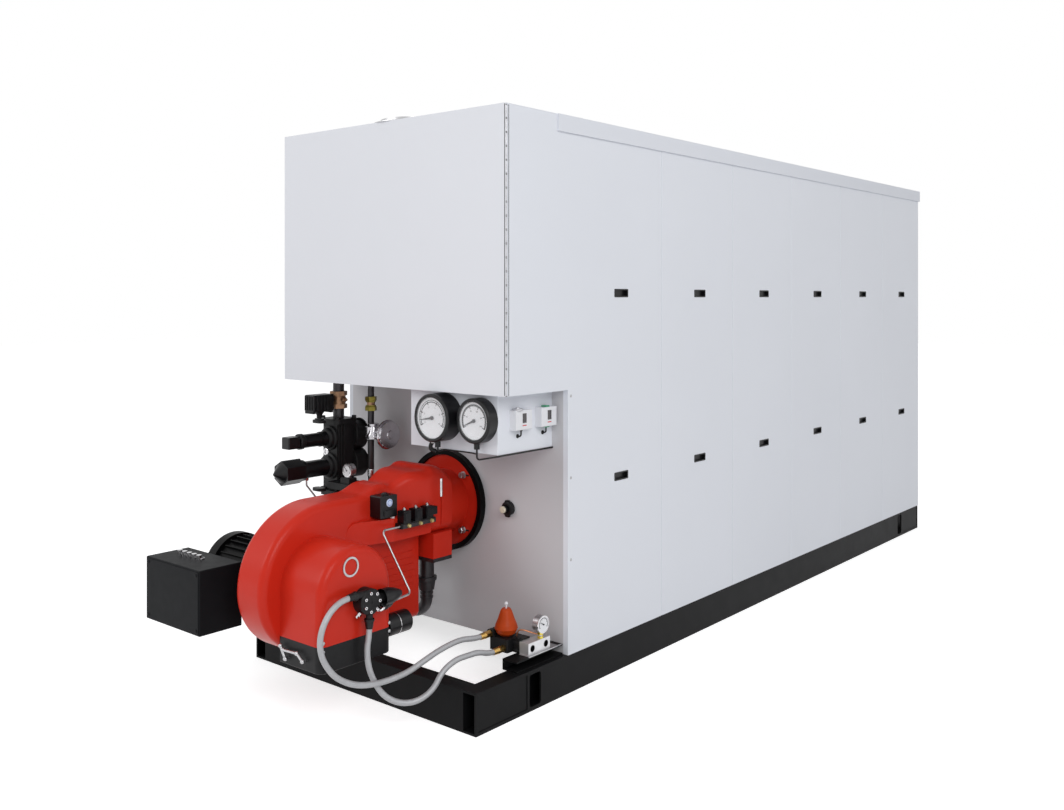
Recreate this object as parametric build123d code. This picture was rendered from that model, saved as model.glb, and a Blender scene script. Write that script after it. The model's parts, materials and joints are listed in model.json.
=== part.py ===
from build123d import *
import math
import os

# Packaged industrial boiler with a dual fuel burner, in millimetres.
# X runs across the boiler, Y from the burner end to the rear, Z up from the floor.
# Lengths along Y are measured from the front end of the skid. The part's origin is
# the middle of the skid on the floor, so every piece is shifted once, when it is saved.

os.makedirs("parts", exist_ok=True)

# Skid
base_length = 4300
base_height = 150
beam_flange = 70
beam_web = 8
slot_start = 290
slot_width = 66
slot_height = 120
slot_corner = 12
recess_depth = 2.5
recess_edge = 12
inner_beam_shares = (0.3, 0.5, 0.7)
skid_inset = 5

# Casing
casing_width = 1280
casing_top = 2222
panel_thick = 25
panel_edge = 3
first_seam = 1175
bay_count = 6
seam = 2
wall_y = 516
roof_sheet = 4
cap_y = 448
cap_proud = 8
cap_drop = 62

# Recessed handle cups
handle_length = 97
handle_height = 34
handle_depth = 15
handle_rim = 5
handle_lip = 1.5
handle_corner = 4
handle_low_z = 796
handle_drop = 677
handle_back = 8
rear_handle_x = 310

# Head cabinet and its hinged door
cabinet_y = 150
cabinet_bottom = 1171
floor_sheet = 4
door_skin = 2
door_depth = 16
door_gap = 6
door_top_gap = 10
knuckle_radius = 4.5
knuckle_length = 50
knuckle_gap = 0.6
leaf_width = 20
leaf_thick = 1.5
hinge_pin_radius = 2
hinge_running_gap = 0.06

# Flue
flue_y = 298
flue_radius = 125
flue_wall = 3
flue_drop = 472
flue_bend = 170
collar_rise = 18
collar_flange = 30
collar_flange_thick = 3
duct_step = 1

# Water connections at the rear
water_pipe_radius = 57
water_pipe_wall = 6
water_flange_radius = 114
water_flange_thick = 24
water_reach = 120
water_pcd = 190.5
water_hole_radius = 9.5
water_hole_count = 8
water_low_z = 420
water_drop = 322
water_gap = 4

# Gauge box under the head cabinet
gauge_box_width = 459
gauge_box_inset = 56
gauge_box_y = 200
gauge_box_z = 948
gauge_box_edge = 3
pressure_inset = 188
pressure_z = 1072
pressure_radius = 91.5
pressure_depth = 78
thermometer_inset = 376
thermometer_z = 1072
thermometer_radius = 84
thermometer_depth = 48
gauge_rim = 13
gauge_dial_drop = 9
gauge_boss_radius = 11
gauge_tube_radius = 3.5
controller_width = 92
controller_height = 74
controller_depth = 35
controller_edge = 4
controller_z = 1071
controller_places = (310, 458)
cable_radius = 3
cable_drop = 26

# Burner
burner_z = 675
ring_radius = 210
ring_inner = 190
ring_depth = 30
flange_radius = 188
flange_depth = 20
tube_radius = 130
neck_half = 130
neck_y = (295, 400)
neck_low_z = 481
neck_edge = 45
neck_plate = 15
slot_y = 337
slot_z = (586, 797)
slot_wide = 8
slot_deep = 5
fan_y = -215
fan_z = 460
fan_x = (-92, 70)
rim_front_y = -482
rim_middle_z = 480
rim_top_z = 772
rim_edge = 28
shoulder_y = (-40, 80)
shoulder_z = 802
flare_z = 581
flare_steps = (
    (101, 162, 802),
    (150, 180, 804),
    (190, 205, 827),
    (245, 242, 836),
    (295, 260, 848),
)
neck_steps = (
    (295, 260, 848),
    (325, 260, 850),
    (362, 260, 835),
    (400, 260, 808),
)
ramp_y = (-104, 82)
ramp_z = (590, 678)
ramp_corner = 45
body_back_y = 278
body_bottom_z = 243
body_edge = 12
louvre_y = (-50, 240)
louvre_top_z = 518
louvre_pitch = 26
louvre_count = 6
louvre_wide = 3
louvre_deep = 2
intake_x = 292
intake_y = (-404, -76)
intake_split_z = 337
intake_spring_z = 493
intake_edge = 30
damper_z = 245
damper_edge = 5
lever_bar = ((106, 299), (183, 303))
lever_near = ((92, 311), (119, 271))
lever_far = ((183, 303), (214, 282))
lever_radius = 5
lever_knob = 8
lever_out = 14
servo_radius = 40
servo_length = 115
servo_x = 245
servo_z = 325
motor_radius = 117
fin_height = 14
fin_thick = 3
fin_count = 28
motor_end_x = -440
cowl_length = 60
cowl_radius = 133
motor_collar = 20
box_x = (-574, -216)
box_y = (-542, -362)
box_z = (306, 543)
box_edge = 4
button_radius = 10
button_height = 16
button_shares = (0.2, 0.29, 0.38, 0.47, 0.56)
button_row_share = 0.55
sight_ring_y = -272
sight_ring_z = 590
sight_ring_radius = 35
sight_ring_width = 7
sight_ring_proud = 4

# Oil pump and nozzle valves on the burner
pump_radius = 46
pump_length = 48
pump_bolt_circle = 33
pump_bolt_radius = 5
pump_bolt_count = 7
pump_z = 463
solenoid_radius = 16
solenoid_length = 50
stub_radius = 9
valve_block_y = (88, 272)
valve_block_z = (640, 660)
valve_block_depth = 36
coil_width = 38
coil_height = 46
coil_count = 3
nozzle_pipe_radius = 4
switch_y = (14, 100)
switch_z = (686, 770)
switch_depth = 58
switch_edge = 5

# Gas train
gas_inset = 181
gas_y = 300
gas_pipe_radius = 24
gas_pipe_rise = 149
gas_valve_z = (1045, 1119)
gas_valve_radius = 38
drive_y = (139, 250)
drive_z = (1042, 1112)
drive_half = 32
drive_knob_radius = 20
flange_plate_half = 60
flange_plate_thick = 22
double_valve_z = (673, 1003)
double_valve_half = 46
diaphragm_radius = 62
diaphragm_depth = 70
upper_drive_z = 920
upper_drive_radius = 32
upper_drive_end = 25
upper_drive_y = (16, 77)
lower_drive_z = 798
lower_drive_radius = 36
lower_drive_hex = 52
lower_drive_y = (-4, 90)
lower_drive_tip = 37
gas_low_z = 225
gas_bend = 60
adapter_y = 385
adapter_radius = 31
adapter_flange_radius = 42
adapter_flange_z = (360, 374)
adapter_waist_z = 320
adapter_rib = 4
adapter_rib_count = 2
valve_gauge_reach = 159
valve_gauge_y = 240
valve_gauge_z = 800
valve_gauge_radius = 28
valve_gauge_depth = 26

# Pilot gas line
pilot_spacing = 120
pilot_y = 380
pilot_radius = 14
pilot_pipe_rise = 99
pilot_valve_z = (1038, 1095)
pilot_valve_radius = 22
regulator_z = 940
regulator_radius = 26
regulator_disc = 56
regulator_reach = 124

# Oil set on the right side beam
bracket_inset = 20
bracket_width = 70
bracket_y = (241, 512)
bracket_height = 41
bracket_thick = 6
manifold_inset = 9
manifold_depth = 44
manifold_y = (318, 446)
manifold_height = 46
port_radius = 13
port_depth = 14
port_shares = (0.19, 0.81)
filter_reach = 80
filter_y = 334
filter_radius = 45
filter_head_z = (192, 242)
filter_cap_profile = (
    (23, 242),
    (37, 253),
    (45, 270),
    (41, 285),
    (32, 306),
    (23, 333),
    (21, 337),
    (16, 344),
)
filter_stem_radius = 3
filter_ball_radius = 6.7
filter_ball_z = 362
oil_gauge_y = 404
oil_gauge_z = 290
oil_gauge_radius = 33
oil_gauge_depth = 26

# Oil hoses
hose_radius = 10.5
hose_nut_radius = 14
hose_high_z = 250
hose_low_z = 207

# Sight port on the front wall
port_spacing = 131
port_z = 678
port_plate_radius = 28
port_plate_depth = 10
port_knob_radius = 12
port_knob_length = 34

half_casing = casing_width / 2
half_inside = half_casing - panel_thick
half_base = half_casing - skid_inset
panel_pitch = (base_length - first_seam) / (bay_count - 1)
handle_high_z = casing_top - handle_drop
water_high_z = casing_top - water_drop
flue_centre_z = casing_top - flue_drop
hinge_x = half_casing - knuckle_radius
knuckle_seat = knuckle_radius + knuckle_gap
hinge_y = cabinet_y + door_skin + knuckle_seat
side_front_y = hinge_y + knuckle_seat
roof_top = casing_top + roof_sheet
gauge_box_x = (half_inside - gauge_box_inset - gauge_box_width, half_inside - gauge_box_inset)
pressure_x = gauge_box_x[0] + pressure_inset
thermometer_x = gauge_box_x[0] + thermometer_inset
gas_x = gas_inset - half_casing
valve_gauge_x = gas_x + valve_gauge_reach
pilot_x = gas_x + pilot_spacing
regulator_x = pilot_x + regulator_reach
bracket_x = (half_base - bracket_inset - bracket_width, half_base - bracket_inset)
manifold_x = (bracket_x[1] - manifold_inset - manifold_depth, bracket_x[1] - manifold_inset)
filter_x = manifold_x[0] - filter_reach
port_x = ring_radius + port_spacing
gas_pipe_end = cabinet_bottom + gas_pipe_rise
pilot_pipe_end = cabinet_bottom + pilot_pipe_rise

ON_FLOOR = (Align.CENTER, Align.CENTER, Align.MIN)


def save(name, *solids):
    """Write one piece, shifted so that the origin is the middle of the skid."""
    shape = solids[0] if len(solids) == 1 else Compound(list(solids))
    export_step(Pos(0, -base_length / 2, 0) * shape, f"parts/{name}.step")


def block(x, y, z):
    """A box that fills three spans, each given as (low, high)."""
    spans = (x, y, z)
    middle = [(low + high) / 2 for low, high in spans]
    return Pos(*middle) * Box(*[high - low for low, high in spans])


def soft_block(x, y, z, edge, axis=None):
    """A box with rounded edges: all of them, or only those along one axis."""
    body = block(x, y, z)
    edges = body.edges() if axis is None else body.edges().filter_by(axis)
    return fillet(edges, edge)


def rod(start, end, radius):
    """A round bar from one point to another."""
    run = Vector(*end) - Vector(*start)
    return Plane(origin=start, z_dir=run) * Cylinder(radius, run.length, align=ON_FLOOR)


def taper(start, end, radius, end_radius):
    """A round bar that changes from one radius to another."""
    run = Vector(*end) - Vector(*start)
    return Plane(origin=start, z_dir=run) * Cone(radius, end_radius, run.length, align=ON_FLOOR)


def hexagon(start, end, radius):
    """A six sided bar from one point to another."""
    run = Vector(*end) - Vector(*start)
    return extrude(Plane(origin=start, z_dir=run) * RegularPolygon(radius, 6), amount=run.length)


def tube(points, bends, radius):
    """A round tube along straight runs joined by tangent arcs."""
    path = FilletPolyline(*points, radius=bends)
    return sweep(Plane(origin=path @ 0, z_dir=path % 0) * Circle(radius), path=path)


# The skid: two side beams, hollow from end to end, with cross channels between them

def channel(length):
    """A channel that lies along Y, with its web on the +X side."""
    outer = Box(beam_flange, length, base_height)
    hollow = Box(beam_flange, length, base_height - beam_web * 2)
    return outer - Pos(-beam_web, 0, 0) * hollow


def side_beam():
    """The right side beam, a box section with a lifting slot near each end of its outer wall."""
    beam = block((half_base - beam_flange, half_base), (0, base_length), (0, base_height))
    beam -= block(
        (half_base - beam_flange + beam_web, half_base - beam_web),
        (0, base_length),
        (beam_web, base_height - beam_web),
    )
    middle = slot_start + slot_width / 2
    for y in (middle, base_length - middle):
        face = Plane(origin=(half_base, y, base_height / 2), x_dir=(0, 1, 0), z_dir=(1, 0, 0))
        slot = face * RectangleRounded(slot_width, slot_height, slot_corner)
        beam -= extrude(slot, amount=beam_web * 2, both=True)
    across = (half_base - recess_depth, half_base + recess_depth)
    upright = (recess_edge, base_height - recess_edge)
    near = (recess_edge, slot_start - recess_edge)
    far = (base_length - near[1], base_length - near[0])
    for along in (near, far):
        beam -= block(across, along, upright)
    return beam


def cross_beam(y, turn):
    """A channel across the skid, between the side beams' flanges."""
    length = (half_base - beam_flange) * 2
    return Pos(0, y, base_height / 2) * Rot(0, 0, turn) * channel(length)


right_beam = side_beam()
save("side_beam_right", right_beam)
save("side_beam_left", mirror(right_beam, about=Plane.YZ))
cross_beams = [cross_beam(beam_flange / 2, -90), cross_beam(base_length - beam_flange / 2, 90)]
for share in inner_beam_shares:
    cross_beams.append(cross_beam(base_length * share, 90))
save("cross_beams", *cross_beams)


# The casing: insulated panels that stand on the skid round the boiler body

def handle_pocket(face):
    """The pocket in a panel that a handle cup fills."""
    outline = RectangleRounded(handle_length - handle_rim, handle_height - handle_rim, handle_corner)
    return extrude(face * outline, amount=-handle_depth)


def handle_cup(face):
    """A recessed grip: a rim on the panel's face and a thin liner in its pocket."""
    rim = extrude(face * RectangleRounded(handle_length, handle_height, handle_corner), amount=handle_lip)
    liner = handle_pocket(face)
    inside = RectangleRounded(
        handle_length - handle_rim * 2, handle_height - handle_rim * 2, handle_corner - handle_lip
    )
    hollow = extrude(face.offset(handle_lip) * inside, amount=-handle_depth)
    return rim + liner - hollow


def side_face(y, z):
    """The outside of the right casing at one place."""
    return Plane(origin=(half_casing, y, z), x_dir=(0, 1, 0), z_dir=(1, 0, 0))


def rear_face(x, z):
    """The outside of the rear casing at one place."""
    return Plane(origin=(x, base_length, z), x_dir=(-1, 0, 0), z_dir=(0, 1, 0))


def side_panel(start, end):
    """A side panel from the skid to the roof, with its two handle pockets."""
    across = (half_inside, half_casing)
    panel = block(across, (start, end), (base_height, casing_top))
    corners = panel.edges().filter_by(Axis.Z).group_by(Axis.X)[-1]
    return fillet(corners, panel_edge)


handle_heights = (handle_low_z, handle_high_z)
bay_handles = []
for bay in range(bay_count):
    middle = first_seam + panel_pitch * (bay - 1 / 2) + handle_back
    bay_handles.append([side_face(middle, z) for z in handle_heights])

lower = block((half_inside, half_casing), (wall_y, first_seam - seam / 2), (base_height, casing_top))
head = block(
    (half_inside, half_casing), (side_front_y, first_seam - seam / 2), (cabinet_bottom, casing_top)
)
front_panel = lower + head
front_corners = front_panel.edges().filter_by(Axis.Z).group_by(Axis.X)[-1]
front_panel = fillet(front_corners, panel_edge)
for face in bay_handles[0]:
    front_panel -= handle_pocket(face)
save("right_front_panel", front_panel)
save("left_front_panel", mirror(front_panel, about=Plane.YZ))

side_panels = []
for bay in range(1, bay_count):
    start = first_seam + (bay - 1) * panel_pitch
    panel = side_panel(start + seam / 2, start + panel_pitch - seam / 2)
    for face in bay_handles[bay]:
        panel -= handle_pocket(face)
    side_panels.append(panel)
save("right_panels", *side_panels)
save("left_panels", *[mirror(panel, about=Plane.YZ) for panel in side_panels])

rear_panels = []
rear_y = (base_length - panel_thick, base_length)
for across in ((-half_inside, -seam / 2), (seam / 2, half_inside)):
    panel = block(across, rear_y, (base_height, casing_top))
    panel = fillet(panel.edges().filter_by(Axis.Z).group_by(Axis.Y)[-1], panel_edge)
    for z in (water_low_z, water_high_z):
        panel -= rod((0, 0, z), (0, base_length * 2, z), water_pipe_radius + water_gap)
    side = math.copysign(rear_handle_x, across[0] + across[1])
    for z in handle_heights:
        panel -= handle_pocket(rear_face(side, z))
    rear_panels.append(panel)
save("rear_panels", *rear_panels)

cups = []
for faces in bay_handles:
    for face in faces:
        cup = handle_cup(face)
        cups += [cup, mirror(cup, about=Plane.YZ)]
for x in (-rear_handle_x, rear_handle_x):
    cups += [handle_cup(rear_face(x, z)) for z in handle_heights]
save("handle_cups", *cups)

front_wall = block((-half_inside, half_inside), (wall_y, wall_y + panel_thick), (base_height, casing_top))
save("front_wall", front_wall)
body_y = (wall_y + panel_thick, base_length - panel_thick)
save("boiler_body", block((-half_inside, half_inside), body_y, (base_height, casing_top)))

cap_outer = block(
    (-half_casing - cap_proud, half_casing + cap_proud),
    (cap_y, base_length + cap_proud),
    (casing_top - cap_drop, roof_top),
)
cap_inner = block(
    (-half_casing, half_casing), (0, base_length), (casing_top - cap_drop * 2, casing_top)
)
save("roof_cap", cap_outer - cap_inner)


# The head cabinet: a floor and a roof sheet between the front panels, and the flue

cabinet_floor = block(
    (-half_inside, half_inside),
    (cabinet_y + door_skin + door_gap, wall_y),
    (cabinet_bottom, cabinet_bottom + floor_sheet),
)
cabinet_floor -= rod((gas_x, gas_y, 0), (gas_x, gas_y, casing_top), gas_pipe_radius)
cabinet_floor -= rod((pilot_x, pilot_y, 0), (pilot_x, pilot_y, casing_top), pilot_radius)
save("cabinet_floor", cabinet_floor)

cabinet_roof = block(
    (-half_casing, half_casing), (cabinet_y + door_skin + door_gap, cap_y), (casing_top, roof_top)
)
cabinet_roof -= rod((0, flue_y, 0), (0, flue_y, roof_top * 2), flue_radius)
save("cabinet_roof", cabinet_roof)

flue_low = roof_top - flue_radius / 2
duct_route = [(0, wall_y, flue_centre_z), (0, flue_y, flue_centre_z), (0, flue_y, flue_low)]
duct_radius = flue_radius + duct_step
duct = tube(duct_route, flue_bend, duct_radius) - tube(duct_route, flue_bend, duct_radius - flue_wall)
save("flue_duct", duct)

collar_top = roof_top + collar_rise
collar = rod((0, flue_y, flue_low), (0, flue_y, collar_top), flue_radius)
brim_top = roof_top + collar_flange_thick
collar += rod((0, flue_y, roof_top), (0, flue_y, brim_top), flue_radius + collar_flange)
collar -= rod((0, flue_y, flue_low), (0, flue_y, collar_top), flue_radius - flue_wall)
save("flue_collar", collar)

door = block(
    (-half_casing, half_casing - door_skin), (cabinet_y, cabinet_y + door_skin), (cabinet_bottom, roof_top)
)
door_inside = half_inside - door_gap
door += block(
    (-door_inside, door_inside),
    (cabinet_y + door_skin, cabinet_y + door_skin + door_depth),
    (cabinet_bottom + door_top_gap, casing_top - door_top_gap),
)
save("front_door", door)


# The piano hinge down the right edge of the door: knuckles turn in line on one pin

def hinge_leaf(side, first):
    """One leaf with every second knuckle; side is -1 for the door and 1 for the cabinet."""
    far = hinge_y + side * knuckle_seat
    near = far - side * leaf_thick
    depth = (min(near, far), max(near, far))
    bottom = cabinet_bottom + knuckle_gap
    leaf = block((hinge_x - leaf_width, hinge_x - knuckle_seat), depth, (bottom, casing_top - knuckle_gap))
    count = int((casing_top - cabinet_bottom) / knuckle_length)
    for step in range(first, count, 2):
        low = bottom + step * knuckle_length
        high = low + knuckle_length - knuckle_gap
        leaf += block((hinge_x - knuckle_seat, hinge_x), depth, (low, high))
        leaf += rod((hinge_x, hinge_y, low), (hinge_x, hinge_y, high), knuckle_radius)
    return leaf


pin_ends = ((hinge_x, hinge_y, cabinet_bottom), (hinge_x, hinge_y, casing_top))
door_leaf = hinge_leaf(-1, 0) - rod(*pin_ends, hinge_pin_radius + hinge_running_gap)
save("door_hinge_leaf", door_leaf)
save("cabinet_hinge_leaf", hinge_leaf(1, 1) + rod(*pin_ends, hinge_pin_radius))


# Flanged water connections through the notches in the rear panels

def water_flange(z):
    """A pipe stub from the boiler body with a drilled flange on its end."""
    start = base_length - panel_thick
    end = base_length + water_reach
    stub = rod((0, start, z), (0, end, z), water_pipe_radius)
    stub += rod((0, end - water_flange_thick, z), (0, end, z), water_flange_radius)
    stub -= rod((0, start, z), (0, end, z), water_pipe_radius - water_pipe_wall)
    for hole in range(water_hole_count):
        angle = math.tau * (hole + 1 / 2) / water_hole_count
        x = water_pcd / 2 * math.cos(angle)
        up = z + water_pcd / 2 * math.sin(angle)
        stub -= rod((x, start, up), (x, end, up), water_hole_radius)
    return stub


save("water_flanges", water_flange(water_low_z), water_flange(water_high_z))


# The gauge box, its two dials and the controllers on its side

gauge_box = block(gauge_box_x, (gauge_box_y, wall_y), (gauge_box_z, cabinet_bottom))
front_edges = gauge_box.edges().filter_by(Axis.Z).group_by(Axis.Y)[0]
save("gauge_box", fillet(front_edges, gauge_box_edge))


def dial_gauge(x, z, radius, depth):
    """A round dial gauge with its back on the gauge box and a threaded boss below."""
    front = gauge_box_y - depth
    case = rod((x, gauge_box_y, z), (x, front, z), radius)
    case = chamfer(case.edges().filter_by(GeomType.CIRCLE).group_by(Axis.Y)[0], gauge_rim / 3)
    case -= rod((x, front, z), (x, front + gauge_dial_drop, z), radius - gauge_rim)
    boss_y = gauge_box_y - depth / 2
    boss_z = z - radius - gauge_boss_radius * 2
    case += rod((x, boss_y, z - radius * 0.9), (x, boss_y, boss_z), gauge_boss_radius)
    return case, (x, boss_y, boss_z)


pressure_gauge, pressure_foot = dial_gauge(pressure_x, pressure_z, pressure_radius, pressure_depth)
save("pressure_gauge", pressure_gauge)
thermometer, thermometer_foot = dial_gauge(
    thermometer_x, thermometer_z, thermometer_radius, thermometer_depth
)
save("thermometer", thermometer)

tube_z = gauge_box_z - gauge_tube_radius
tube_y = gauge_box_y - gauge_tube_radius
side_tube_x = gauge_box_x[1] + gauge_tube_radius
siphon = tube(
    [
        pressure_foot,
        (pressure_x, pressure_foot[1], tube_z),
        (pressure_x, wall_y, tube_z),
    ],
    gauge_tube_radius * 2,
    gauge_tube_radius,
)
dip_z = gauge_box_z - gauge_boss_radius * 2
capillary = tube(
    [
        thermometer_foot,
        (thermometer_x, thermometer_foot[1], dip_z),
        (side_tube_x, tube_y, tube_z),
        (side_tube_x, wall_y, tube_z),
    ],
    gauge_tube_radius * 3,
    gauge_tube_radius,
)
controllers = []
cables = []
for y in controller_places:
    across = (gauge_box_x[1], gauge_box_x[1] + controller_depth)
    along = (y - controller_width / 2, y + controller_width / 2)
    upright = (controller_z - controller_height / 2, controller_z + controller_height / 2)
    case = block(across, along, upright)
    controllers.append(fillet(case.faces().sort_by(Axis.X)[-1].edges(), controller_edge))
    middle = gauge_box_x[1] + controller_depth / 2
    below = upright[0] - cable_drop
    cables.append(
        tube(
            [(middle, y, upright[0]), (middle, y, below), (gauge_box_x[1], y, below)],
            cable_radius * 3,
            cable_radius,
        )
    )
save("controllers", *controllers)
save("gauge_tubes", siphon, capillary, *cables)

plate_y = wall_y - port_plate_depth
sight_port = rod((port_x, wall_y, port_z), (port_x, plate_y, port_z), port_plate_radius)
knob_end = plate_y - port_knob_length
sight_port += rod((port_x, plate_y, port_z), (port_x, knob_end, port_z), port_knob_radius)
save("sight_port", sight_port)


# The burner: a fan scroll that feeds a square neck and a round flanged head

def flare_section(y, wide, top):
    """The neck's outline at one place: flat below, with its two top corners rounded."""
    share = (wide / 2 - half_fan) / (neck_half - half_fan)
    middle = fan_middle * (1 - share)
    corner = rim_edge + (neck_edge - rim_edge) * share
    with BuildSketch(Plane.XZ.offset(-y)) as section:
        with BuildLine() as outline:
            Polyline(
                (middle - wide / 2, flare_z),
                (middle + wide / 2, flare_z),
                (middle + wide / 2, top),
                (middle - wide / 2, top),
                close=True,
            )
            fillet(outline.vertices().group_by(Axis.Z)[-1], corner)
        make_face()
    return section.sketch


wall_ring = rod((0, wall_y, burner_z), (0, wall_y - ring_depth, burner_z), ring_radius)
wall_ring -= rod((0, wall_y, burner_z), (0, wall_y - ring_depth, burner_z), ring_inner)
save("wall_ring", wall_ring)

flange_front = wall_y - flange_depth
head = rod((0, wall_y, burner_z), (0, flange_front, burner_z), flange_radius)
head += rod((0, flange_front, burner_z), (0, neck_y[1], burner_z), tube_radius)
save("burner_head", head)

half_fan = (fan_x[1] - fan_x[0]) / 2
fan_middle = (fan_x[0] + fan_x[1]) / 2
upper_rim = rim_top_z - rim_middle_z
lower_rim = rim_middle_z - body_bottom_z
with BuildSketch(Plane.YZ) as scroll_outline:
    with BuildLine():
        low_y = rim_front_y + lower_rim
        high_y = rim_front_y + upper_rim
        CenterArc((low_y, rim_middle_z), lower_rim, 180, 90)
        CenterArc((high_y, rim_middle_z), upper_rim, 90, 90)
        top_run = Line((high_y, rim_top_z), (shoulder_y[0], rim_top_z))
        shoulder = Spline(top_run @ 1, (shoulder_y[1], shoulder_z), tangents=((1, 0), (1, 0)))
        Polyline(
            shoulder @ 1,
            (flare_steps[0][0], shoulder_z),
            (flare_steps[0][0], flare_z),
            (body_back_y, flare_z),
            (body_back_y, body_bottom_z),
            (low_y, body_bottom_z),
        )
    make_face()
scroll = extrude(Pos(fan_x[0], 0, 0) * scroll_outline.sketch, amount=fan_x[1] - fan_x[0])
sides = scroll.faces().filter_by(Axis.X)
rim_edges = sides.edges().filter_by(lambda edge: edge.center().Y < shoulder_y[1])
scroll = fillet(rim_edges.filter_by(lambda edge: edge.center().Z > body_bottom_z), rim_edge)
back_edges = scroll.edges().filter_by(Axis.Z).group_by(Axis.Y)[-1]
scroll = fillet(back_edges, body_edge)

flare = loft([flare_section(*step) for step in flare_steps])
neck = loft([flare_section(*step) for step in neck_steps])
neck += block((-neck_half, neck_half), neck_y, (neck_low_z, flare_z))

ramp_back = neck_y[0] - neck_plate
with BuildSketch(Plane.XY.offset(ramp_z[0])) as ramp_plan:
    with BuildLine():
        Polyline(
            (0, ramp_y[0]),
            (fan_x[1], ramp_y[0]),
            (neck_half, ramp_y[1]),
            (neck_half, ramp_back),
            (0, ramp_back),
            close=True,
        )
    make_face()
ramp = extrude(ramp_plan.sketch, amount=ramp_z[1] - ramp_z[0])
ramp_front = ramp.edges().filter_by(Axis.X).group_by(Axis.Y)[0].group_by(Axis.Z)[-1]
ramp = fillet(ramp_front, ramp_corner)

louvre_x = (fan_x[1] - louvre_deep, fan_x[1])
for louvre in range(louvre_count):
    z = louvre_top_z - louvre_pitch * louvre
    scroll -= block(louvre_x, louvre_y, (z, z + louvre_wide))
slot_x = (neck_half - slot_deep, neck_half + slot_deep)
neck -= block(slot_x, (slot_y - slot_wide / 2, slot_y + slot_wide / 2), slot_z)
save("fan_scroll", scroll + flare + neck + ramp)

wide = intake_y[1] - intake_y[0]
intake_middle = (intake_y[0] + intake_y[1]) / 2
intake = block((fan_x[1], intake_x), intake_y, (intake_split_z, intake_spring_z))
intake += rod(
    (fan_x[1], intake_middle, intake_spring_z), (intake_x, intake_middle, intake_spring_z), wide / 2
)
intake -= block((fan_x[1], intake_x), intake_y, (0, intake_split_z))
front_edges = intake.faces().sort_by(Axis.X)[-1].edges()
intake = fillet(front_edges.filter_by(lambda edge: edge.center().Z > intake_split_z), intake_edge)
save("intake_housing", intake)

damper = block((fan_x[1], intake_x), intake_y, (damper_z, intake_split_z))
damper = fillet(damper.edges().filter_by(Axis.Z).group_by(Axis.X)[-1], intake_edge)
save("damper_box", fillet(damper.faces().sort_by(Axis.Z)[0].edges(), damper_edge))

lever_y = intake_y[0] - lever_out
lever = Compound([])
for bar in (lever_bar, lever_near, lever_far):
    ends = [(x, lever_y, z) for x, z in bar]
    lever += rod(*ends, lever_radius)
    for end in ends:
        lever += Pos(*end) * Sphere(lever_knob)
for x, z in (lever_near[1], lever_far[1]):
    lever += rod((x, intake_y[0], z), (x, lever_y, z), lever_radius)
save("damper_lever", lever)

servo_y = (intake_y[1], intake_y[1] + servo_length)
servo = rod((servo_x, servo_y[0], servo_z), (servo_x, servo_y[1], servo_z), servo_radius)
save("servo_motor", chamfer(servo.edges().filter_by(GeomType.CIRCLE).group_by(Axis.Y)[-1], damper_edge))

motor = rod((fan_x[0], fan_y, fan_z), (motor_end_x, fan_y, fan_z), motor_radius)
for fin in range(fin_count):
    angle = 360 * fin / fin_count
    rib = Pos((fan_x[0] + motor_end_x) / 2, 0, motor_radius) * Box(
        fan_x[0] - motor_end_x - motor_collar * 2, fin_thick, fin_height * 2
    )
    motor += Pos(0, fan_y, fan_z) * Rot(angle, 0, 0) * rib
cowl = rod((motor_end_x, fan_y, fan_z), (motor_end_x - cowl_length, fan_y, fan_z), cowl_radius)
motor += fillet(cowl.edges().filter_by(GeomType.CIRCLE).group_by(Axis.X)[0], motor_collar)
motor += rod((fan_x[0], fan_y, fan_z), (fan_x[0] - motor_collar, fan_y, fan_z), cowl_radius)
save("fan_motor", motor)

control_box = soft_block(box_x, box_y, box_z, box_edge)
arm_x = (box_x[1] - motor_collar * 4, box_x[1] - motor_collar)
arm_z = (fan_z - fin_height, fan_z + fin_height)
control_box += block(arm_x, (box_y[1], fan_y - motor_radius - fin_height), arm_z)
save("control_box", control_box)

row_y = box_y[0] + (box_y[1] - box_y[0]) * button_row_share
buttons = []
for share in button_shares:
    x = box_x[0] + (box_x[1] - box_x[0]) * share
    buttons.append(rod((x, row_y, box_z[1]), (x, row_y, box_z[1] + button_height), button_radius))
save("push_buttons", *buttons)

ring_end = intake_x + sight_ring_proud
ring = rod((intake_x, sight_ring_y, sight_ring_z), (ring_end, sight_ring_y, sight_ring_z), sight_ring_radius)
ring -= rod(
    (intake_x, sight_ring_y, sight_ring_z),
    (ring_end, sight_ring_y, sight_ring_z),
    sight_ring_radius - sight_ring_width,
)
save("sight_ring", ring)


# The oil pump, the nozzle valves and the steel pipe between them

pump_end = intake_x + pump_length
pump = rod((intake_x, fan_y, pump_z), (pump_end, fan_y, pump_z), pump_radius)
pump = chamfer(pump.edges().filter_by(GeomType.CIRCLE).group_by(Axis.X)[-1], pump_bolt_radius)
for bolt in range(pump_bolt_count):
    angle = math.tau * bolt / pump_bolt_count
    y = fan_y + pump_bolt_circle * math.cos(angle)
    z = pump_z + pump_bolt_circle * math.sin(angle)
    pump += rod((pump_end, y, z), (pump_end + pump_bolt_radius, y, z), pump_bolt_radius)
coil_x = intake_x + pump_length * 0.6
coil_end = fan_y + pump_radius + solenoid_length
pump += taper((coil_x, fan_y, pump_z), (coil_x, coil_end, pump_z), solenoid_radius * 1.3, solenoid_radius)
stub_low = pump_z - pump_radius - stub_radius * 2
port_in = (intake_x + pump_length * 0.7, fan_y, pump_z)
pump += rod(port_in, (port_in[0], fan_y, stub_low), stub_radius * 1.4)
stub_y = fan_y - pump_radius - stub_radius * 2
return_z = pump_z + pump_radius * 0.7
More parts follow.
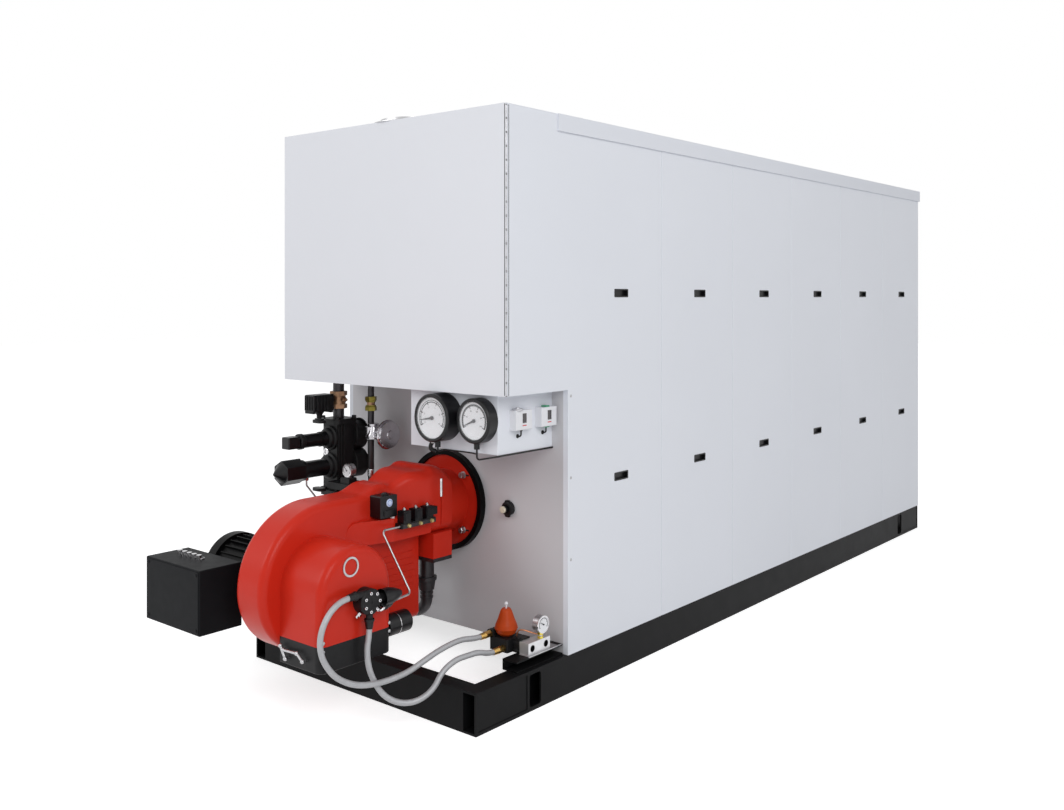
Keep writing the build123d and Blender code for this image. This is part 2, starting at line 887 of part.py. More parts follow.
pump += rod((port_in[0], fan_y, return_z), (port_in[0], stub_y, return_z), stub_radius * 1.4)
save("oil_pump", pump)

valve_x = (neck_half, neck_half + valve_block_depth)
valves = block(valve_x, valve_block_y, valve_block_z)
coil_pitch = (valve_block_y[1] - valve_block_y[0]) / coil_count
for coil in range(coil_count):
    y = valve_block_y[0] + coil_pitch * (coil + 1 / 2)
    along = (y - coil_width / 2, y + coil_width / 2)
    valves += block(valve_x, along, (valve_block_z[1], valve_block_z[1] + coil_height))
save("nozzle_valves", valves)

pipe_start = (valve_x[1] - stub_radius, valve_block_y[0], sum(valve_block_z) / 2)
pipe_end = (pump_end - stub_radius, coil_end - solenoid_length, pump_z - pump_radius * 0.6)
nozzle_pipe = tube(
    [
        pipe_start,
        (pipe_start[0], valve_block_y[0] - pump_radius * 2, pipe_start[2]),
        (intake_x, intake_y[1] + pump_radius * 2, pipe_end[2]),
        pipe_end,
    ],
    stub_radius * 2,
    nozzle_pipe_radius,
)
save("nozzle_oil_pipe", nozzle_pipe)

switch = soft_block((fan_x[1], fan_x[1] + switch_depth), switch_y, switch_z, switch_edge, Axis.X)
save("air_pressure_switch", switch)


# The gas train on the left, and its feed to the underside of the neck

gas_pipe = rod((gas_x, gas_y, double_valve_z[1]), (gas_x, gas_y, gas_valve_z[0]), gas_pipe_radius)
upper_gas_pipe = rod((gas_x, gas_y, gas_valve_z[1]), (gas_x, gas_y, gas_pipe_end), gas_pipe_radius)
save("main_gas_pipe", gas_pipe, upper_gas_pipe)


def pipe_valve(x, y, z, radius):
    """A brass valve body: a hexagon at each end of a round waist."""
    end = (z[1] - z[0]) / 4
    body = rod((x, y, z[0]), (x, y, z[1]), radius * 0.8)
    body += hexagon((x, y, z[0]), (x, y, z[0] + end), radius)
    body += hexagon((x, y, z[1] - end), (x, y, z[1]), radius)
    return body


save(
    "brass_valves",
    pipe_valve(gas_x, gas_y, gas_valve_z, gas_valve_radius),
    pipe_valve(pilot_x, pilot_y, pilot_valve_z, pilot_valve_radius),
)

drive = soft_block((gas_x - drive_half, gas_x + drive_half), drive_y, drive_z, switch_edge)
drive_end = gas_y - gas_valve_radius * 0.8
drive_middle = (gas_valve_z[0] + gas_valve_z[1]) / 2
drive += rod((gas_x, drive_y[0], drive_middle), (gas_x, drive_end, drive_middle), drive_knob_radius / 2)
knob_y = (drive_y[0] + drive_y[1]) / 2
knob_z = drive_z[0] - drive_half
drive += rod((gas_x, knob_y, drive_z[0]), (gas_x, knob_y, knob_z), drive_knob_radius / 2)
drive += rod((gas_x, knob_y, knob_z), (gas_x, knob_y, knob_z - drive_knob_radius), drive_knob_radius)
save("valve_drive", drive)


def square_plate(z):
    """A square pipe flange with rounded corners, from z down."""
    outline = RectangleRounded(flange_plate_half * 2, flange_plate_half * 2, flange_plate_thick)
    return extrude(Pos(gas_x, gas_y, z) * outline, amount=-flange_plate_thick)


valve_body = block(
    (gas_x - double_valve_half, gas_x + double_valve_half),
    (gas_y - double_valve_half, gas_y + double_valve_half),
    double_valve_z,
)
valve_body += square_plate(double_valve_z[1])
valve_body += square_plate(double_valve_z[0] + flange_plate_thick)
for z in (upper_drive_z, lower_drive_z):
    back = gas_y + double_valve_half
    valve_body += rod((gas_x, back, z), (gas_x, back + diaphragm_depth, z), diaphragm_radius)
drive_back = gas_y - double_valve_half
upper_start = (gas_x, drive_back, upper_drive_z)
upper = rod(upper_start, (gas_x, upper_drive_y[1], upper_drive_z), upper_drive_radius * 0.9)
upper += rod(upper_start, (gas_x, drive_back - gas_bend, upper_drive_z), upper_drive_radius)
upper += soft_block(
    (gas_x - upper_drive_end, gas_x + upper_drive_end),
    upper_drive_y,
    (upper_drive_z - upper_drive_end, upper_drive_z + upper_drive_end),
    switch_edge,
)
lower_start = (gas_x, drive_back, lower_drive_z)
bonnet_start = (gas_x, lower_drive_y[1], lower_drive_z)
bonnet_end = (gas_x, lower_drive_y[0], lower_drive_z)
lower_actuator = rod(lower_start, bonnet_start, lower_drive_radius)
lower_actuator += hexagon(bonnet_start, bonnet_end, lower_drive_hex)
tip = (gas_x, lower_drive_y[0] - lower_drive_tip, lower_drive_z)
lower_actuator += taper(bonnet_end, tip, lower_drive_hex * 0.8, switch_edge)
save("valve_actuators", upper, lower_actuator)

feed = tube(
    [
        (gas_x, gas_y, double_valve_z[0]),
        (gas_x, gas_y, gas_low_z),
        (0, adapter_y, gas_low_z),
        (0, adapter_y, gas_low_z + gas_bend * 2),
    ],
    gas_bend,
    gas_pipe_radius,
)
adapter_low = gas_low_z + gas_bend
plate_low = neck_low_z - neck_plate
adapter = rod((0, adapter_y, adapter_waist_z), (0, adapter_y, plate_low), adapter_radius - adapter_rib)
adapter += rod((0, adapter_y, adapter_flange_z[1]), (0, adapter_y, plate_low), adapter_radius)
adapter += rod(
    (0, adapter_y, adapter_flange_z[0]), (0, adapter_y, adapter_flange_z[1]), adapter_flange_radius
)
adapter += taper(
    (0, adapter_y, adapter_flange_z[0]),
    (0, adapter_y, adapter_waist_z),
    adapter_flange_radius * 0.9,
    adapter_radius,
)
rib_pitch = (adapter_waist_z - adapter_low) / adapter_rib_count
for rib in range(adapter_rib_count):
    z = adapter_low + rib_pitch * rib
    adapter += rod((0, adapter_y, z), (0, adapter_y, z + rib_pitch / 2), adapter_radius - adapter_rib)
adapter += block((-neck_half, neck_half), neck_y, (plate_low, neck_low_z))
save("gas_feed_pipe", feed + adapter)

impulse_y = lower_drive_y[1] + lower_drive_radius
impulse_top = lower_drive_z - lower_drive_radius
impulse_low = double_valve_z[0] - gas_bend
impulse_pipe = tube(
    [
        (gas_x, impulse_y, impulse_top),
        (gas_x, impulse_y, impulse_top - gas_bend / 2),
        (gas_x, gas_y - gas_pipe_radius * 3, impulse_low),
        (gas_x, gas_y - gas_pipe_radius, impulse_low),
    ],
    nozzle_pipe_radius * 3,
    nozzle_pipe_radius,
)
save("impulse_pipe", impulse_pipe)

gauge_front = valve_gauge_y - valve_gauge_depth
valve_gauge = rod(
    (valve_gauge_x, valve_gauge_y, valve_gauge_z),
    (valve_gauge_x, gauge_front, valve_gauge_z),
    valve_gauge_radius,
)
stem_z = valve_gauge_z - valve_gauge_radius * 2
stem_y = valve_gauge_y - valve_gauge_depth / 2
valve_gauge += rod((valve_gauge_x, stem_y, valve_gauge_z), (valve_gauge_x, stem_y, stem_z), stub_radius)
valve_body += block(
    (gas_x + double_valve_half, valve_gauge_x + valve_gauge_radius),
    (stem_y - valve_gauge_radius, gas_y),
    (stem_z - valve_gauge_radius, stem_z),
)
save("double_gas_valve", valve_body)

pilot_low = regulator_z - regulator_radius
pilot_high = regulator_z + regulator_radius
pilot_pipes = [
    rod((pilot_x, pilot_y, pilot_valve_z[1]), (pilot_x, pilot_y, pilot_pipe_end), pilot_radius),
    rod((pilot_x, pilot_y, pilot_high), (pilot_x, pilot_y, pilot_valve_z[0]), pilot_radius),
    tube(
        [
            (pilot_x, pilot_y, pilot_low),
            (pilot_x, pilot_y, burner_z),
            (-neck_half, pilot_y, burner_z),
        ],
        gas_bend / 2,
        pilot_radius,
    ),
]
save("pilot_pipe", *pilot_pipes)

regulator = rod((pilot_x, pilot_y, pilot_low), (pilot_x, pilot_y, pilot_high), regulator_radius)
disc_back = regulator_x - regulator_radius
regulator += rod((pilot_x, pilot_y, regulator_z), (disc_back, pilot_y, regulator_z), regulator_radius * 0.6)
regulator += rod((disc_back, pilot_y, regulator_z), (regulator_x, pilot_y, regulator_z), regulator_disc)
save("pilot_regulator", regulator)


# The oil set: a bracket on the side beam carries the manifold, filter and gauge

bracket_top = base_height + bracket_height
bracket = block(bracket_x, bracket_y, (base_height, bracket_top))
bracket -= block(
    (bracket_x[0] + bracket_thick, bracket_x[1] + bracket_thick),
    bracket_y,
    (base_height + bracket_thick, bracket_top - bracket_thick),
)
save("oil_bracket", bracket)

manifold = block(manifold_x, manifold_y, (bracket_top, bracket_top + manifold_height))
port_row_z = bracket_top + manifold_height / 2
for share in port_shares:
    y = manifold_y[0] + (manifold_y[1] - manifold_y[0]) * share
    manifold -= rod((manifold_x[1] - port_depth, y, port_row_z), (manifold_x[1], y, port_row_z), port_radius)
save("oil_manifold", manifold)

head_y = (filter_y - filter_radius, filter_y + filter_radius)
head_x = (filter_x - filter_radius, filter_x + filter_radius)
filter_head = soft_block(head_x, head_y, filter_head_z, switch_edge, Axis.Z)
filter_head += block((head_x[1], manifold_x[0]), (manifold_y[0], head_y[1]), filter_head_z)
save("filter_head", filter_head)

with BuildSketch(Plane.XZ) as cap_outline:
    with BuildLine():
        profile = Polyline(*filter_cap_profile)
        Polyline(profile @ 1, (0, filter_cap_profile[-1][1]), (0, filter_cap_profile[0][1]), profile @ 0)
    make_face()
cap = Pos(filter_x, filter_y, 0) * revolve(cap_outline.sketch, axis=Axis.Z)
ball_middle = (filter_x, filter_y, filter_ball_z)
cap += rod((filter_x, filter_y, filter_cap_profile[-1][1]), ball_middle, filter_stem_radius)
save("filter_cap", cap + Pos(*ball_middle) * Sphere(filter_ball_radius))

oil_gauge_x = manifold_x[1]
oil_gauge = rod(
    (oil_gauge_x - oil_gauge_depth, oil_gauge_y, oil_gauge_z),
    (oil_gauge_x, oil_gauge_y, oil_gauge_z),
    oil_gauge_radius,
)
stem_x = oil_gauge_x - oil_gauge_depth / 2
oil_gauge += rod(
    (stem_x, oil_gauge_y, bracket_top + manifold_height), (stem_x, oil_gauge_y, oil_gauge_z), stub_radius
)
save("small_gauges", valve_gauge, oil_gauge)


# The two flexible oil hoses: free cords, so their points are a list chosen by hand

return_route = [
    (port_in[0], stub_y, return_z),
    (port_in[0], -326, return_z),
    (325, -375, 476),
    (325, -412, 438),
    (325, -432, 390),
    (326, -431, 338),
    (330, -411, 290),
    (338, -373, 240),
    (350, -305, 200),
    (364, -230, 185),
    (378, -150, 186),
    (391, -80, 198),
    (403, -22, 222),
    (415, 50, 247),
    (427, 142, 262),
    (440, 210, hose_high_z),
    (440, 259, hose_high_z),
]
supply_route = [
    (port_in[0], fan_y, stub_low),
    (port_in[0], fan_y, 350),
    (326, -227, 300),
    (330, -224, 240),
    (341, -210, 189),
    (364, -184, 132),
    (400, -138, 100),
    (435, -82, 101),
    (459, -29, 135),
    (465, 5, 189),
    (481, 58, 221),
    (492, 115, 224),
    (499, 162, 225),
    (506, 213, hose_low_z),
    (506, 259, hose_low_z),
]


def bend_radii(points):
    """Each bend's radius: 0.45 of the shorter run, over the tangent of half the turn."""
    radii = []
    for before, here, after in zip(points, points[1:], points[2:]):
        run_in = Vector(*here) - Vector(*before)
        run_out = Vector(*after) - Vector(*here)
        half_turn = math.radians(run_in.get_angle(run_out)) / 2
        radii.append(min(run_in.length, run_out.length) * 0.45 / math.tan(half_turn))
    return radii


def hose(name, points):
    """A hose along its route; its radii and length are printed."""
    radii = bend_radii(points)
    body = tube(points, radii, hose_radius)
    length = FilletPolyline(*points, radius=radii).length
    print(name, "smallest radius", round(min(radii)), "length", round(length))
    print(name, "volume share", round(body.volume / (math.pi * hose_radius**2 * length), 4))
    save(name, body)


hose("oil_hose_return", return_route)
hose("oil_hose_supply", supply_route)

nuts = []
for x, y, z in (return_route[-1], supply_route[-1]):
    nuts.append(hexagon((x, y, z), (x, head_y[0], z), hose_nut_radius))
save("hose_nuts", *nuts)
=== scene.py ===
# %% [markdown]
# A packaged boiler with a red dual fuel burner, dressed round its CAD part. The part holds
# every main shape in its place and size, so nothing is modelled twice: this file adds finishes
# and small pieces. Lengths are metres in the part's own frame: X to the oil side, Y to the
# rear, Z up.

# %% Load the boiler's frame
import json
import math
import bmesh
import bpy
from mathutils import Matrix, Vector

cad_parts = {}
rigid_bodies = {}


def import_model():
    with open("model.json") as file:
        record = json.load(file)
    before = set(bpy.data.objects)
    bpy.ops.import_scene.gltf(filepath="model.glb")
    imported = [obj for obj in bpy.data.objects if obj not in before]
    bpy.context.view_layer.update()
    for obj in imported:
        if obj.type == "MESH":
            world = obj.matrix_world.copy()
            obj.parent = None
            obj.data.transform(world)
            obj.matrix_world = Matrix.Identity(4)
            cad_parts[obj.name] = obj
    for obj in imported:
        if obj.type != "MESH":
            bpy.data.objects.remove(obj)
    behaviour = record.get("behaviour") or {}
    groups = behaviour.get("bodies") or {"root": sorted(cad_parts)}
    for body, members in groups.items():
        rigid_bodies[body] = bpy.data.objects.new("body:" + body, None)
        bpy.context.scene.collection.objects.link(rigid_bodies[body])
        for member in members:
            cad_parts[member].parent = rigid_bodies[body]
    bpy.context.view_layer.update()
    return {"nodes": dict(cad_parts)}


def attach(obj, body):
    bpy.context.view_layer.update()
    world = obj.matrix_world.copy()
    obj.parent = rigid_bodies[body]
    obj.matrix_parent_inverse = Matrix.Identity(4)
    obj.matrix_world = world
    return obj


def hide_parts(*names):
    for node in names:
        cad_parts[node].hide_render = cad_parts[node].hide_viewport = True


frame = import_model()
nodes = frame["nodes"]
scene_objects = bpy.context.scene.collection.objects

# %% [markdown]
# The picture was taken level, from off the skid's front right corner, so the long side runs
# away to the right. A tilted camera would lean the uprights, so this one is level too, and its
# lens shift puts the horizon above the picture's middle.

# %% Camera
IMAGE_WIDTH, IMAGE_HEIGHT = 1064, 810
FOCAL_PIXELS = 1045.5
HORIZON_ROW = 296.75
SENSOR_WIDTH = 36.0
EYE = (3.1053, -4.8143, 1.530)
HEADING = math.radians(39.77)
FARTHEST_SEEN = 200

camera_data = bpy.data.cameras.new("camera")
camera_data.sensor_width = SENSOR_WIDTH
camera_data.lens = SENSOR_WIDTH * FOCAL_PIXELS / IMAGE_WIDTH
camera_data.shift_y = (HORIZON_ROW - IMAGE_HEIGHT / 2) / IMAGE_WIDTH
camera_data.clip_end = FARTHEST_SEEN
camera = bpy.data.objects.new("camera", camera_data)
camera.location = EYE
camera.rotation_euler = (math.pi / 2, 0, HEADING)
scene_objects.link(camera)
bpy.context.scene.camera = camera
print("lens", round(camera_data.lens, 2), "mm, shift", round(camera_data.shift_y, 4))

# %% [markdown]
# Each paint, plastic and metal could be wired by hand from nodes, but one function keeps them
# alike. It adds a mottle, an uneven gloss and a fine bump, all from noise in the part's own
# metres, so the grain has its real size on every piece.

# %% Finish helper
NOISE_DETAIL = 4.0
COAT_ROUGHNESS = 0.12
MOTTLE_FROM, MOTTLE_TO = 0.3, 0.7
GLOSSIEST, DULLEST = 0.02, 1.0


def rgb(red, green, blue):
    """A linear colour from the 0 to 255 values that a paint card gives."""
    return tuple(pow(v / 255, 2.2) for v in (red, green, blue))


def finish(name, colour, roughness, metallic=0.0, mottle=0.05, mottle_size=0.4, gloss_spread=0.06,
           grain=0.002, grain_depth=0.00002, stretch=(1, 1, 1), coat=0.0, specular=0.5):
    """A procedural surface: mottled colour, uneven gloss and a fine grain of a real size."""
    material = bpy.data.materials.new(name)
    material.use_nodes = True
    tree = material.node_tree
    link = tree.links.new
    shader = tree.nodes["Principled BSDF"]
    shader.inputs["Metallic"].default_value = metallic
    shader.inputs["Coat Weight"].default_value = coat
    shader.inputs["Coat Roughness"].default_value = COAT_ROUGHNESS
    shader.inputs["Specular IOR Level"].default_value = specular
    place = tree.nodes.new("ShaderNodeTexCoord")
    scaled = tree.nodes.new("ShaderNodeMapping")
    scaled.inputs["Scale"].default_value = stretch
    link(place.outputs["Object"], scaled.inputs["Vector"])

    def noise(size):
        node = tree.nodes.new("ShaderNodeTexNoise")
        node.inputs["Scale"].default_value = 1 / size
        node.inputs["Detail"].default_value = NOISE_DETAIL
        link(scaled.outputs["Vector"], node.inputs["Vector"])
        return node

    cloud = noise(mottle_size)
    ramp = tree.nodes.new("ShaderNodeValToRGB")
    darker, lighter = ramp.color_ramp.elements
    darker.position, lighter.position = MOTTLE_FROM, MOTTLE_TO
    darker.color = [v * (1 - mottle) for v in colour] + [1]
    lighter.color = [min(1.0, v * (1 + mottle)) for v in colour] + [1]
    link(cloud.outputs["Fac"], ramp.inputs["Fac"])
    link(ramp.outputs["Color"], shader.inputs["Base Color"])
    spread = tree.nodes.new("ShaderNodeMapRange")
    spread.inputs["To Min"].default_value = max(GLOSSIEST, roughness - gloss_spread)
    spread.inputs["To Max"].default_value = min(DULLEST, roughness + gloss_spread)
    link(noise(mottle_size / 3).outputs["Fac"], spread.inputs["Value"])
    link(spread.outputs["Result"], shader.inputs["Roughness"])
    bump = tree.nodes.new("ShaderNodeBump")
    bump.inputs["Distance"].default_value = grain_depth
    link(noise(grain).outputs["Fac"], bump.inputs["Height"])
    link(bump.outputs["Normal"], shader.inputs["Normal"])
    return material


print("white paint as a linear colour", [round(v, 3) for v in rgb(224, 226, 232)])

# %% [markdown]
# The casing is white powder coat, slightly blue. Its long sides take a copy that is a touch lighter and
# cooler, as painted light for the light they catch. The roof's coat is duller, so that it doesn't mirror the
# lamps. The skid is semi gloss black, and the burner a warm red paint under a thin clear coat. A plain colour
# would do from afar, but mottle and orange peel keep large faces from looking like paper.

# %% Paints
ORANGE_PEEL = {"mottle": 0.012, "mottle_size": 0.9, "grain": 0.0016, "grain_depth": 0.00003}
white_coat = finish("white_powder_coat", rgb(224, 226, 232), 0.5, specular=0.2, **ORANGE_PEEL)
# A lighter, cooler copy of the casing paint: painted light on the long sides.
lit_side_coat = finish("side_powder_coat_painted_light", rgb(225, 228, 235), 0.5, specular=0.2, **ORANGE_PEEL)
roof_coat = finish("roof_powder_coat", rgb(223, 226, 233), 0.65, specular=0.03, **ORANGE_PEEL)
# This grey is partly painted shade: the front wall stands back under the cabinet's floor and reads grey from
# the shade there. The hidden boiler body takes the same grey.
inner_grey_and_painted_shade = finish("inner_sheet_grey_and_painted_shade", rgb(196, 195, 198), 0.5, mottle=0.03, mottle_size=0.6)
skid_black = finish("skid_black", rgb(24, 24, 25), 0.5, mottle=0.12, mottle_size=0.25,
                    grain=0.004, grain_depth=0.00008, specular=0.09)
burner_red = finish("burner_red", rgb(199, 47, 32), 0.34, mottle=0.04, mottle_size=0.2,
                    grain=0.006, grain_depth=0.00006, coat=0.06, specular=0.14)
print("finishes so far", len(bpy.data.materials))

# %% [markdown]
# Machine parts are black castings or plastic. One black would do, but only their shine tells a
# casting, a moulding, a motor, a lid and a pipe apart. So the five differ in grain and in how
# much they reflect.

# %% Black finishes
cast_black = finish("cast_black", rgb(30, 30, 31), 0.45, mottle=0.18, mottle_size=0.03,
                    grain=0.0015, grain_depth=0.00012, specular=0.2)
moulded_black = finish("moulded_black", rgb(22, 22, 24), 0.34, mottle=0.1, mottle_size=0.05,
                       grain=0.0008, grain_depth=0.00003, specular=0.3)
motor_black = finish("motor_black", rgb(12, 12, 13), 0.42, mottle=0.15, mottle_size=0.05,
                     grain=0.0015, grain_depth=0.00008, specular=0.1)
control_black = finish("control_box_black", rgb(26, 27, 29), 0.52, mottle=0.08, mottle_size=0.1,
                       grain=0.0012, grain_depth=0.00006, specular=0.08)
pipe_black = finish("pipe_black", rgb(62, 60, 62), 0.36, metallic=0.6, mottle=0.15, mottle_size=0.04,
                    grain=0.003, grain_depth=0.00005)
print("finishes so far", len(bpy.data.materials))

# %% [markdown]
# Pipes, bolts and fittings are plated steel, brass, bronze and aluminium. A metal's colour is
# what it mirrors, so these are fully or nearly metallic, and only tint and roughness differ.
# The flue's brushed grain is the same noise, stretched.

# %% Metals and light plastics
aged_brass = finish("aged_brass", rgb(146, 136, 66), 0.3, metallic=0.9, mottle=0.12, mottle_size=0.01)
brass = finish("brass", rgb(196, 158, 92), 0.28, metallic=1.0, mottle=0.12, mottle_size=0.02)
bronze = finish("bronze_valve", rgb(150, 118, 92), 0.42, metallic=0.75, mottle=0.15, mottle_size=0.02)
bright_steel = finish("bright_steel", rgb(205, 204, 206), 0.2, metallic=1.0, mottle_size=0.03)
cast_bright = finish("bright_casting", rgb(186, 184, 188), 0.24, metallic=1.0, mottle=0.08, mottle_size=0.02)
zinc = finish("zinc_plate", rgb(176, 176, 178), 0.38, metallic=1.0, mottle=0.08, mottle_size=0.02)
hinge_steel = finish("hinge_steel", rgb(190, 190, 194), 0.4, metallic=0.8, mottle=0.12, mottle_size=0.02)
flue_steel = finish("flue_steel", rgb(186, 186, 188), 0.34, metallic=1.0, mottle=0.06, mottle_size=0.08,
                    stretch=(1, 1, 6))
aluminium = finish("aluminium_block", rgb(206, 206, 208), 0.4, metallic=0.85, mottle_size=0.03)
orange_plastic = finish("orange_cap", rgb(176, 66, 26), 0.4, mottle=0.08, mottle_size=0.03, specular=0.15)
hose_grey = finish("hose_jacket", rgb(170, 171, 174), 0.45, mottle=0.06, mottle_size=0.02,
                   grain=0.0012, grain_depth=0.0002, metallic=0.2)
flange_grey = finish("water_flange_grey", rgb(86, 88, 92), 0.5, mottle=0.08, mottle_size=0.06)
white_plastic = finish("white_plastic", rgb(226, 227, 231), 0.4, mottle=0.02, mottle_size=0.05)
print("finishes", len(bpy.data.materials))

# %% [markdown]
# Each CAD node keeps its shape and only takes a finish. Setting them one by one could skip a
# node, so one table sorts them all by finish, and the last line names any that is bare.

# %% Finish every CAD node
NODE_FINISHES = {
    white_coat: "rear_panels cabinet_floor front_door",
    lit_side_coat: "right_front_panel left_front_panel right_panels left_panels gauge_box",
    roof_coat: "roof_cap cabinet_roof",
    inner_grey_and_painted_shade: "front_wall boiler_body",
    skid_black: "side_beam_right side_beam_left cross_beams oil_bracket",
    burner_red: "burner_head fan_scroll intake_housing",
    cast_black: "damper_box double_gas_valve filter_head oil_pump",
    motor_black: "wall_ring fan_motor",
    moulded_black: ("handle_cups servo_motor valve_drive valve_actuators nozzle_valves "
                    "air_pressure_switch pressure_gauge thermometer gauge_tubes sight_port"),
    control_black: "control_box",
    pipe_black: "main_gas_pipe gas_feed_pipe pilot_pipe",
    brass: "hose_nuts",
    bronze: "brass_valves",
    bright_steel: "push_buttons",
    cast_bright: "pilot_regulator",
    zinc: "damper_lever small_gauges sight_ring impulse_pipe nozzle_oil_pipe",
    hinge_steel: "door_hinge_leaf cabinet_hinge_leaf",
    flue_steel: "flue_duct flue_collar",
    aluminium: "oil_manifold",
    orange_plastic: "filter_cap",
    hose_grey: "oil_hose_return oil_hose_supply",
    flange_grey: "water_flanges",
    white_plastic: "controllers",
}
for surface, names in NODE_FINISHES.items():
    for name in names.split():
        nodes[name].data.materials.clear()
        nodes[name].data.materials.append(surface)
bare = [name for name, node in nodes.items() if node.data.materials[0] not in NODE_FINISHES]
print("nodes with no finish:", bare)

# %% [markdown]
# The two oil hoses are free cords. Each leaves the pump straight, sags in a loop beside the
# burner and rises to the filter. Bent tubes would do for pipes, but rubber has no corners. A
# NURBS curve of order 3 is smooth where runs meet, and its points are the CAD route's.

# %% Hose routes
HOSE_RADIUS = 0.0105
RETURN_ROUTE = [
    (0.3256, -2.429, 0.4952), (0.3256, -2.476, 0.4952), (0.325, -2.525, 0.476), (0.325, -2.562, 0.438),
    (0.325, -2.582, 0.39), (0.326, -2.581, 0.338), (0.33, -2.561, 0.29), (0.338, -2.523, 0.24),
    (0.35, -2.455, 0.2), (0.364, -2.380, 0.185), (0.378, -2.300, 0.186), (0.391, -2.230, 0.198),
    (0.403, -2.172, 0.222), (0.415, -2.100, 0.247), (0.427, -2.008, 0.262), (0.44, -1.940, 0.25),
    (0.44, -1.891, 0.25),
]
SUPPLY_ROUTE = [
    (0.3256, -2.365, 0.399), (0.3256, -2.365, 0.35), (0.326, -2.377, 0.3), (0.33, -2.374, 0.24),
    (0.341, -2.360, 0.189), (0.364, -2.334, 0.132), (0.4, -2.288, 0.1), (0.435, -2.232, 0.101),
    (0.459, -2.179, 0.135), (0.465, -2.145, 0.189), (0.481, -2.092, 0.221), (0.492, -2.035, 0.224),
    (0.499, -1.988, 0.225), (0.506, -1.937, 0.207), (0.506, -1.891, 0.207),
]
print("lowest hose point", min(z for x, y, z in RETURN_ROUTE + SUPPLY_ROUTE), "m above the floor")

# %% Oil hoses
HOSE_SMOOTHNESS, HOSE_FACETS = 12, 6


def smooth_curve(name, route, smoothness):
    """A curve of order 3 through metre places, with no thickness yet."""
    curve = bpy.data.curves.new(name, "CURVE")
    curve.dimensions = "3D"
    spline = curve.splines.new("NURBS")
    spline.points.add(len(route) - 1)
    for point, place in zip(spline.points, route):
        point.co = (*place, 1)
    spline.order_u = 3
    spline.use_endpoint_u = True
    spline.resolution_u = smoothness
    return curve


def hose(name, route, replaced):
    """One hose on its route, standing for its CAD solid; returns its measured length."""
    curve = smooth_curve(name, route, HOSE_SMOOTHNESS)
    made = bpy.data.objects.new(name, curve)
    scene_objects.link(made)
    line = bpy.data.meshes.new_from_object(made)
    length = sum((line.vertices[i + 1].co - v.co).length for i, v in enumerate(line.vertices[:-1]))
    bpy.data.meshes.remove(line)
    curve.bevel_depth = HOSE_RADIUS
    curve.bevel_resolution = HOSE_FACETS
    curve.materials.append(hose_grey)
    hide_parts(replaced)
    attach(made, "root")
    return length


print("return hose", round(hose("return_hose", RETURN_ROUTE, "oil_hose_return"), 3), "m")
print("supply hose", round(hose("supply_hose", SUPPLY_ROUTE, "oil_hose_supply"), 3), "m")

# %% [markdown]
# Small pieces are measured in millimetres: across from the middle, back from the skid's front
# end, and up. Metres worked out by hand would invite slips, so a helper makes them. Another
# stands a piece on a surface: its Z points out, X to the right and Y up for whoever looks at
# it.

# %% Places on the machine
FRONT, REAR, RIGHT, LEFT, TOP, DOWN = (0, -1, 0), (0, 1, 0), (1, 0, 0), (-1, 0, 0), (0, 0, 1), (0, 0, -1)
SKID_FRONT = -2.150
NEARLY_UPRIGHT = 0.9


def spot(x, y, z):
    """A place in metres from millimetres across, behind the skid's front end, and up."""
    return Vector((x / 1000, y / 1000 + SKID_FRONT, z / 1000))


def at(x, y, z, out):
    """The matrix for a piece that stands out of a surface at a place."""
    front = Vector(out).normalized()
    up = Vector((0, 0, 1)) if abs(front.z) < NEARLY_UPRIGHT else Vector((0, 1, 0))
    right = up.cross(front).normalized()
    turn = Matrix((right, front.cross(right), front)).transposed().to_4x4()
    return Matrix.Translation(spot(x, y, z)) @ turn


PUMP_FACE = (340, -215, 463)
print("pump face at", [round(v, 3) for v in spot(*PUMP_FACE)])

# %% [markdown]
# Nearly every fitting is turned on a lathe or cut from plate. Scaled and joined primitives
# would do, but leave hidden faces and no chamfers. So two helpers build the real outline
# straight into a mesh: a profile spun round an axis, and an outline with a thickness.

# %% Lathe and plate
def turned(mesh, place, profile, steps=28):
    """Adds a turned shape: (radius, height) points in millimetres, spun round the place's Z."""
    rings = []
    for radius, height in profile:
        angles = [math.tau * step / steps for step in range(1 if radius == 0 else steps)]
        points = [Vector((radius * math.cos(a), radius * math.sin(a), height)) / 1000 for a in angles]
        rings.append([mesh.verts.new(place @ point) for point in points])
    for low, high in zip(rings, rings[1:]):
        for step in range(steps):
            walk = ((low, step), (low, step + 1), (high, step + 1), (high, step))
            face = list(dict.fromkeys(ring[i % len(ring)] for ring, i in walk))
            if len(face) > 2:
                mesh.faces.new(face)


def slab(mesh, place, outline, low, high):
    """Adds a plate: its outline in millimetres, from one height to another."""
    floor_ring = [mesh.verts.new(place @ (Vector((x, y, low)) / 1000)) for x, y in outline]
    roof_ring = [mesh.verts.new(place @ (Vector((x, y, high)) / 1000)) for x, y in outline]
    mesh.faces.new(roof_ring)
    mesh.faces.new(floor_ring[::-1])
    for i in range(len(outline)):
        j = (i + 1) % len(outline)
        mesh.faces.new((floor_ring[i], floor_ring[j], roof_ring[j], roof_ring[i]))


def oblong(width, height, corner=1.0, steps=4, middle=(0, 0)):
    """A rectangle's outline with rounded corners."""
    outline = []
    for side, rise, start in ((1, -1, 270), (1, 1, 0), (-1, 1, 90), (-1, -1, 180)):
        for step in range(steps + 1):
            angle = math.radians(start + 90 * step / steps)
            outline.append((middle[0] + side * (width / 2 - corner) + corner * math.cos(angle),
                            middle[1] + rise * (height / 2 - corner) + corner * math.sin(angle)))
    return outline


print("corner points of a 24 by 7 plate", len(oblong(24, 7, 3.4)))

# %% [markdown]
# A piece needs more than its mesh: the CAD body that it moves with, and its finish. Done by hand, that is
# easily forgotten, so every mesh and bent pipe goes through one helper. Round faces are shaded smooth, and
# edges sharper than a limit stay hard.

# %% Pieces and pipes
HARD_EDGE = math.radians(34)
PIPE_SMOOTHNESS, PIPE_FACETS = 8, 4


